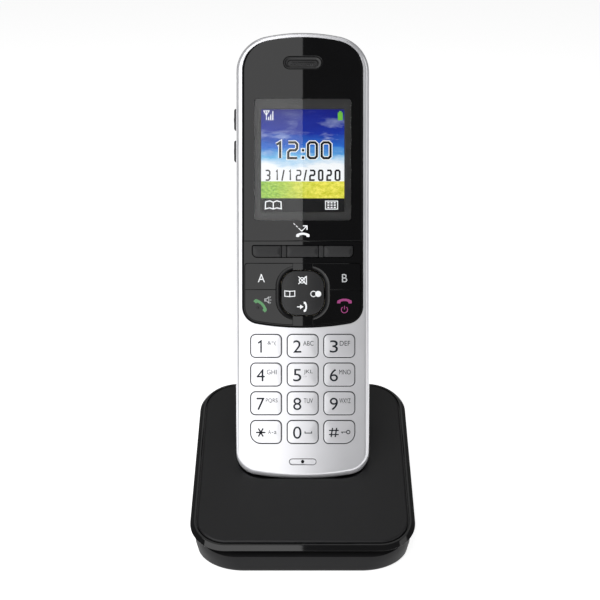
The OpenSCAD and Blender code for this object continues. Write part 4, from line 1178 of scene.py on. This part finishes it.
def rim():
    form = Form(PLATE)
    profile = [(2.1, 1.25), (2.1, 0.62), (2.04, 0.55), (1.9, 0.5), (1.35, 0.5), (1.22, 0.53), (1.1, 0.62),
               (0.12, 1.79), (0.03, 1.88), (0.0, 1.94), (0.03, 2.03), (0.12, 2.1), (4.4, 2.1), (4.4, 1.25)]
    form.wall(plate_outline, profile, loop=True)
    form.piece("rim_ring", rim_black, "base", "rim_black", "base_rim")


def top_cover():
    form = Form(PLATE)
    levels = [(3.3, 0.0), (3.15, 0.0)] + [(3.15 - 0.7 * s, 0.5 * (1 - c)) for s, c in quarter(6, 1)]
    form.tube(plate_outline, levels + [(2.35, 1.15), (4.6, 1.15), (4.6, 2.4), (5.5, 2.4), (5.5, 7.5), (7.1, 7.5),
                                       (7.1, 2.4)])
    obj = form.build("top_cover", [top_black])

    def grown(k, materials=()):
        return solid(HANDSET, pulled(handset_outline(), -k), -k, THICK + k, materials)

    below_plate = [cut(part, [solid(PLATE, rect(-60, -70, 60, 140), -260, 0.6)])
                   for part in [grown(GAP + CRADLE_WALL, [top_black])] + rods(FLOOR, BASE_SCREWS, 3, -38, -6, 32)]
    cut(obj, below_plate, "UNION")
    contact_slots = [solid(HANDSET, rect(x - 1.5, -3, x + 1.5, 3.5), 14.2, 19.8) for x in (-PAD_X, PAD_X)]
    cut(obj, [grown(GAP)] + contact_slots)
    ribs = [solid(HANDSET, rect(x - 1, 0, x + 1, FOOT - 0.15), 3, 22) for x in (-4, 4)]
    cut(obj, ribs, "UNION")
    cut(obj, rods(FLOOR, BASE_SCREWS, 1.2, -11, -5))
    obj.data.materials.clear()
    obj.data.materials.append(top_black)
    piece(obj, "base", "casing_black", "base_top_cover")


def shell_ring(z, inset=0.0):
    """The shell's outline at a height. Its sides lean out, quickly at first."""
    z = max(z, 0)
    if z < 5:
        t = z / 5
        side, front, back, r = 0.7 * t, 0.5 * t, 0.6 * t, 16.3 - 1.9 * t
    else:
        t = (z - 5) / 33
        side, front, back, r = 0.7 + t, 0.5 + 0.7 * t, 0.6 + 1.4 * t, 14.4 - t
    return rounded(-FLOOR_W / 2 - side, -FLOOR_D / 2 - front, FLOOR_W / 2 + side, FLOOR_D / 2 + back,
                   [r] * 4, inset, 22)


def plate_height(y):
    """Height of the plane under the rim at a given y."""
    n = PLATE.depth
    point = PLATE.at(0, 0, SHELL_TOP)
    return (point.z - (n.y * (y * MM - point.y)) / n.z) / MM


def bottom_shell():
    form = Form(FLOOR)

    def level(t, inset, lift=0.0):
        """A ring at part t of the way from lift up to the plane under the rim."""
        points = []
        for i in range(len(shell_ring(0))):
            z = 0.0
            for _ in range(3):
                p = shell_ring(z, inset)[i]
                z = lift + (plate_height(p[1]) - lift) * t
            points.append(Vector((p[0], p[1], z)) * MM)
        form.verts += points
        return list(range(len(form.verts) - len(points), len(form.verts)))

    edge = [form.ring(shell_ring(z, inset), d) for z, inset, d in
            ((0, 0.75, 0.0), (0, 0.7, 0.0), (0, 0.35, -0.1), (0, 0.1, -0.32), (0.6, 0.0, -0.7))]
    outer = [level(t, 0.0) for t in (0.12, 0.25, 0.5, 0.75, 1.0)]
    inner = [level(t, 2.0, 2.0) for t in (1.0, 0.6, 0.25, 0.08)]
    floor_ring = form.ring(shell_ring(2, 2.6), -2.0)
    form.skin(edge + outer + inner + [floor_ring])
    form.cap([edge[0]])
    form.cap([floor_ring])
    obj = form.build("bottom_shell", [case_black])
    pins = [(x, y) for x in (-FOOT_X, FOOT_X) for y in (-22, 17)]
    feet = [(x, y) for x in (-FOOT_X, FOOT_X) for y in (-27.5, 27.5)]
    cut(obj, rods(FLOOR, BASE_SCREWS, 4, -5.95, -0.5, 40) + rods(FLOOR, pins, 2, -3.5, -1.8), "UNION")
    label_recess = centred(0, 0, FLOOR_W - 24, FLOOR_D - 32, [4] * 4)
    cutters = [solid(FLOOR, label_recess, -0.8, 1.0)]
    cutters += rods(FLOOR, BASE_SCREWS, 2.9, -3.2, 1, 40) + rods(FLOOR, feet, 4.1, -1.2, 1, 48)
    for x0, x1 in SOCKETS:
        cutters.append(solid(FLOOR, rounded(x0, 30, x1, 42, [0.05] * 4), -17.4, -5))
    cutters.append(solid(REAR_WALL, disc(0, BUTTON_Z, 4.3, 48), 30, 42))
    cut(obj, cutters)
    cut(obj, rods(FLOOR, BASE_SCREWS, 1.5, -7, -3))
    piece(obj, "base", "casing_black", "base_bottom_shell")


rim()
top_cover()
bottom_shell()

# ---------- Stage, light and camera ----------

floor_white = finish("floor_white", (0.9, 0.9, 0.9, 1), 0.8, bump=0.0, tint=0.004, spread=0.02, cloud=8)
floor_inputs = floor_white.node_tree.nodes["Principled BSDF"].inputs
floor_inputs["Emission Color"].default_value = (1, 1, 1, 1)
floor_inputs["Emission Strength"].default_value = 0.8
floor_mesh = bpy.data.meshes.new("floor")
floor_mesh.from_pydata([(x, y, -0.0002) for x, y in rect(-4, -2.2, 4, 4.6)], [], [(0, 1, 2, 3)])
floor_mesh.materials.append(floor_white)
linked("floor", floor_mesh)

camera = bpy.data.cameras.new("camera")
camera.lens = 72.6
camera.sensor_width = 36
camera.shift_x = -0.0045
camera.clip_start = 0.01
camera_obj = linked("camera", camera)
camera_obj.location = HANDSET.at(0, 64.58) - DEPTH * 0.4216
camera_obj.rotation_euler = DEPTH.to_track_quat("-Z", "Y").to_euler()
bpy.context.scene.camera = camera_obj


def softbox(name, centre, x, y, half_w, half_h, radiance):
    """A rectangular area light with sides along x and y. It shines along minus x cross y."""
    light = bpy.data.lights.new(name, "AREA")
    light.shape = "RECTANGLE"
    light.size, light.size_y = half_w * 2, half_h * 2
    light.energy = radiance * math.pi * light.size * light.size_y
    z = x.cross(y)
    linked(name, light).matrix_world = Matrix(((x.x, y.x, z.x, centre.x), (x.y, y.y, z.y, centre.y),
                                               (x.z, y.z, z.z, centre.z), (0, 0, 0, 1)))


def aimed_softbox(name, azimuth, climb, away, half_w, half_h, radiance):
    """A softbox turned to the handset: azimuth to the right of the camera's axis, climb above it."""
    a, c = math.radians(azimuth), math.radians(climb)
    toward = SIDE * math.sin(a) * math.cos(c) - DEPTH * math.cos(a) * math.cos(c) + UP * math.sin(c)
    across = UP.cross(toward).normalized()
    softbox(name, HANDSET.at(0, 80) + toward * away, across, toward.cross(across).normalized(), half_w, half_h,
            radiance)


# The left softbox is behind the camera, and its right edge stands on the camera's axis
LEFT_HALF_W = 0.34
softbox("softbox_left", camera_obj.location - DEPTH * 0.06 - SIDE * LEFT_HALF_W, SIDE, UP, LEFT_HALF_W, 0.8, 2.0)
aimed_softbox("strip_right", 62, 0, 0.7, 0.13, 0.5, 1.1)
aimed_softbox("softbox_top", 0, 88, 1.1, 0.5, 0.35, 0.6)

# The world is white to the camera and dim as a light
world = bpy.data.worlds.new("studio")
world.use_nodes = True
bpy.context.scene.world = world
nodes, link = world.node_tree.nodes, world.node_tree.links.new
background = nodes["Background"]
background.inputs["Color"].default_value = (1, 1, 1, 1)
seen = nodes.new("ShaderNodeLightPath")
level = nodes.new("ShaderNodeMapRange")
level.inputs["To Min"].default_value = 0.14
level.inputs["To Max"].default_value = 1.0
link(seen.outputs["Is Camera Ray"], level.inputs["Value"])
link(level.outputs["Result"], background.inputs["Strength"])
bpy.context.scene.view_settings.view_transform = "Standard"
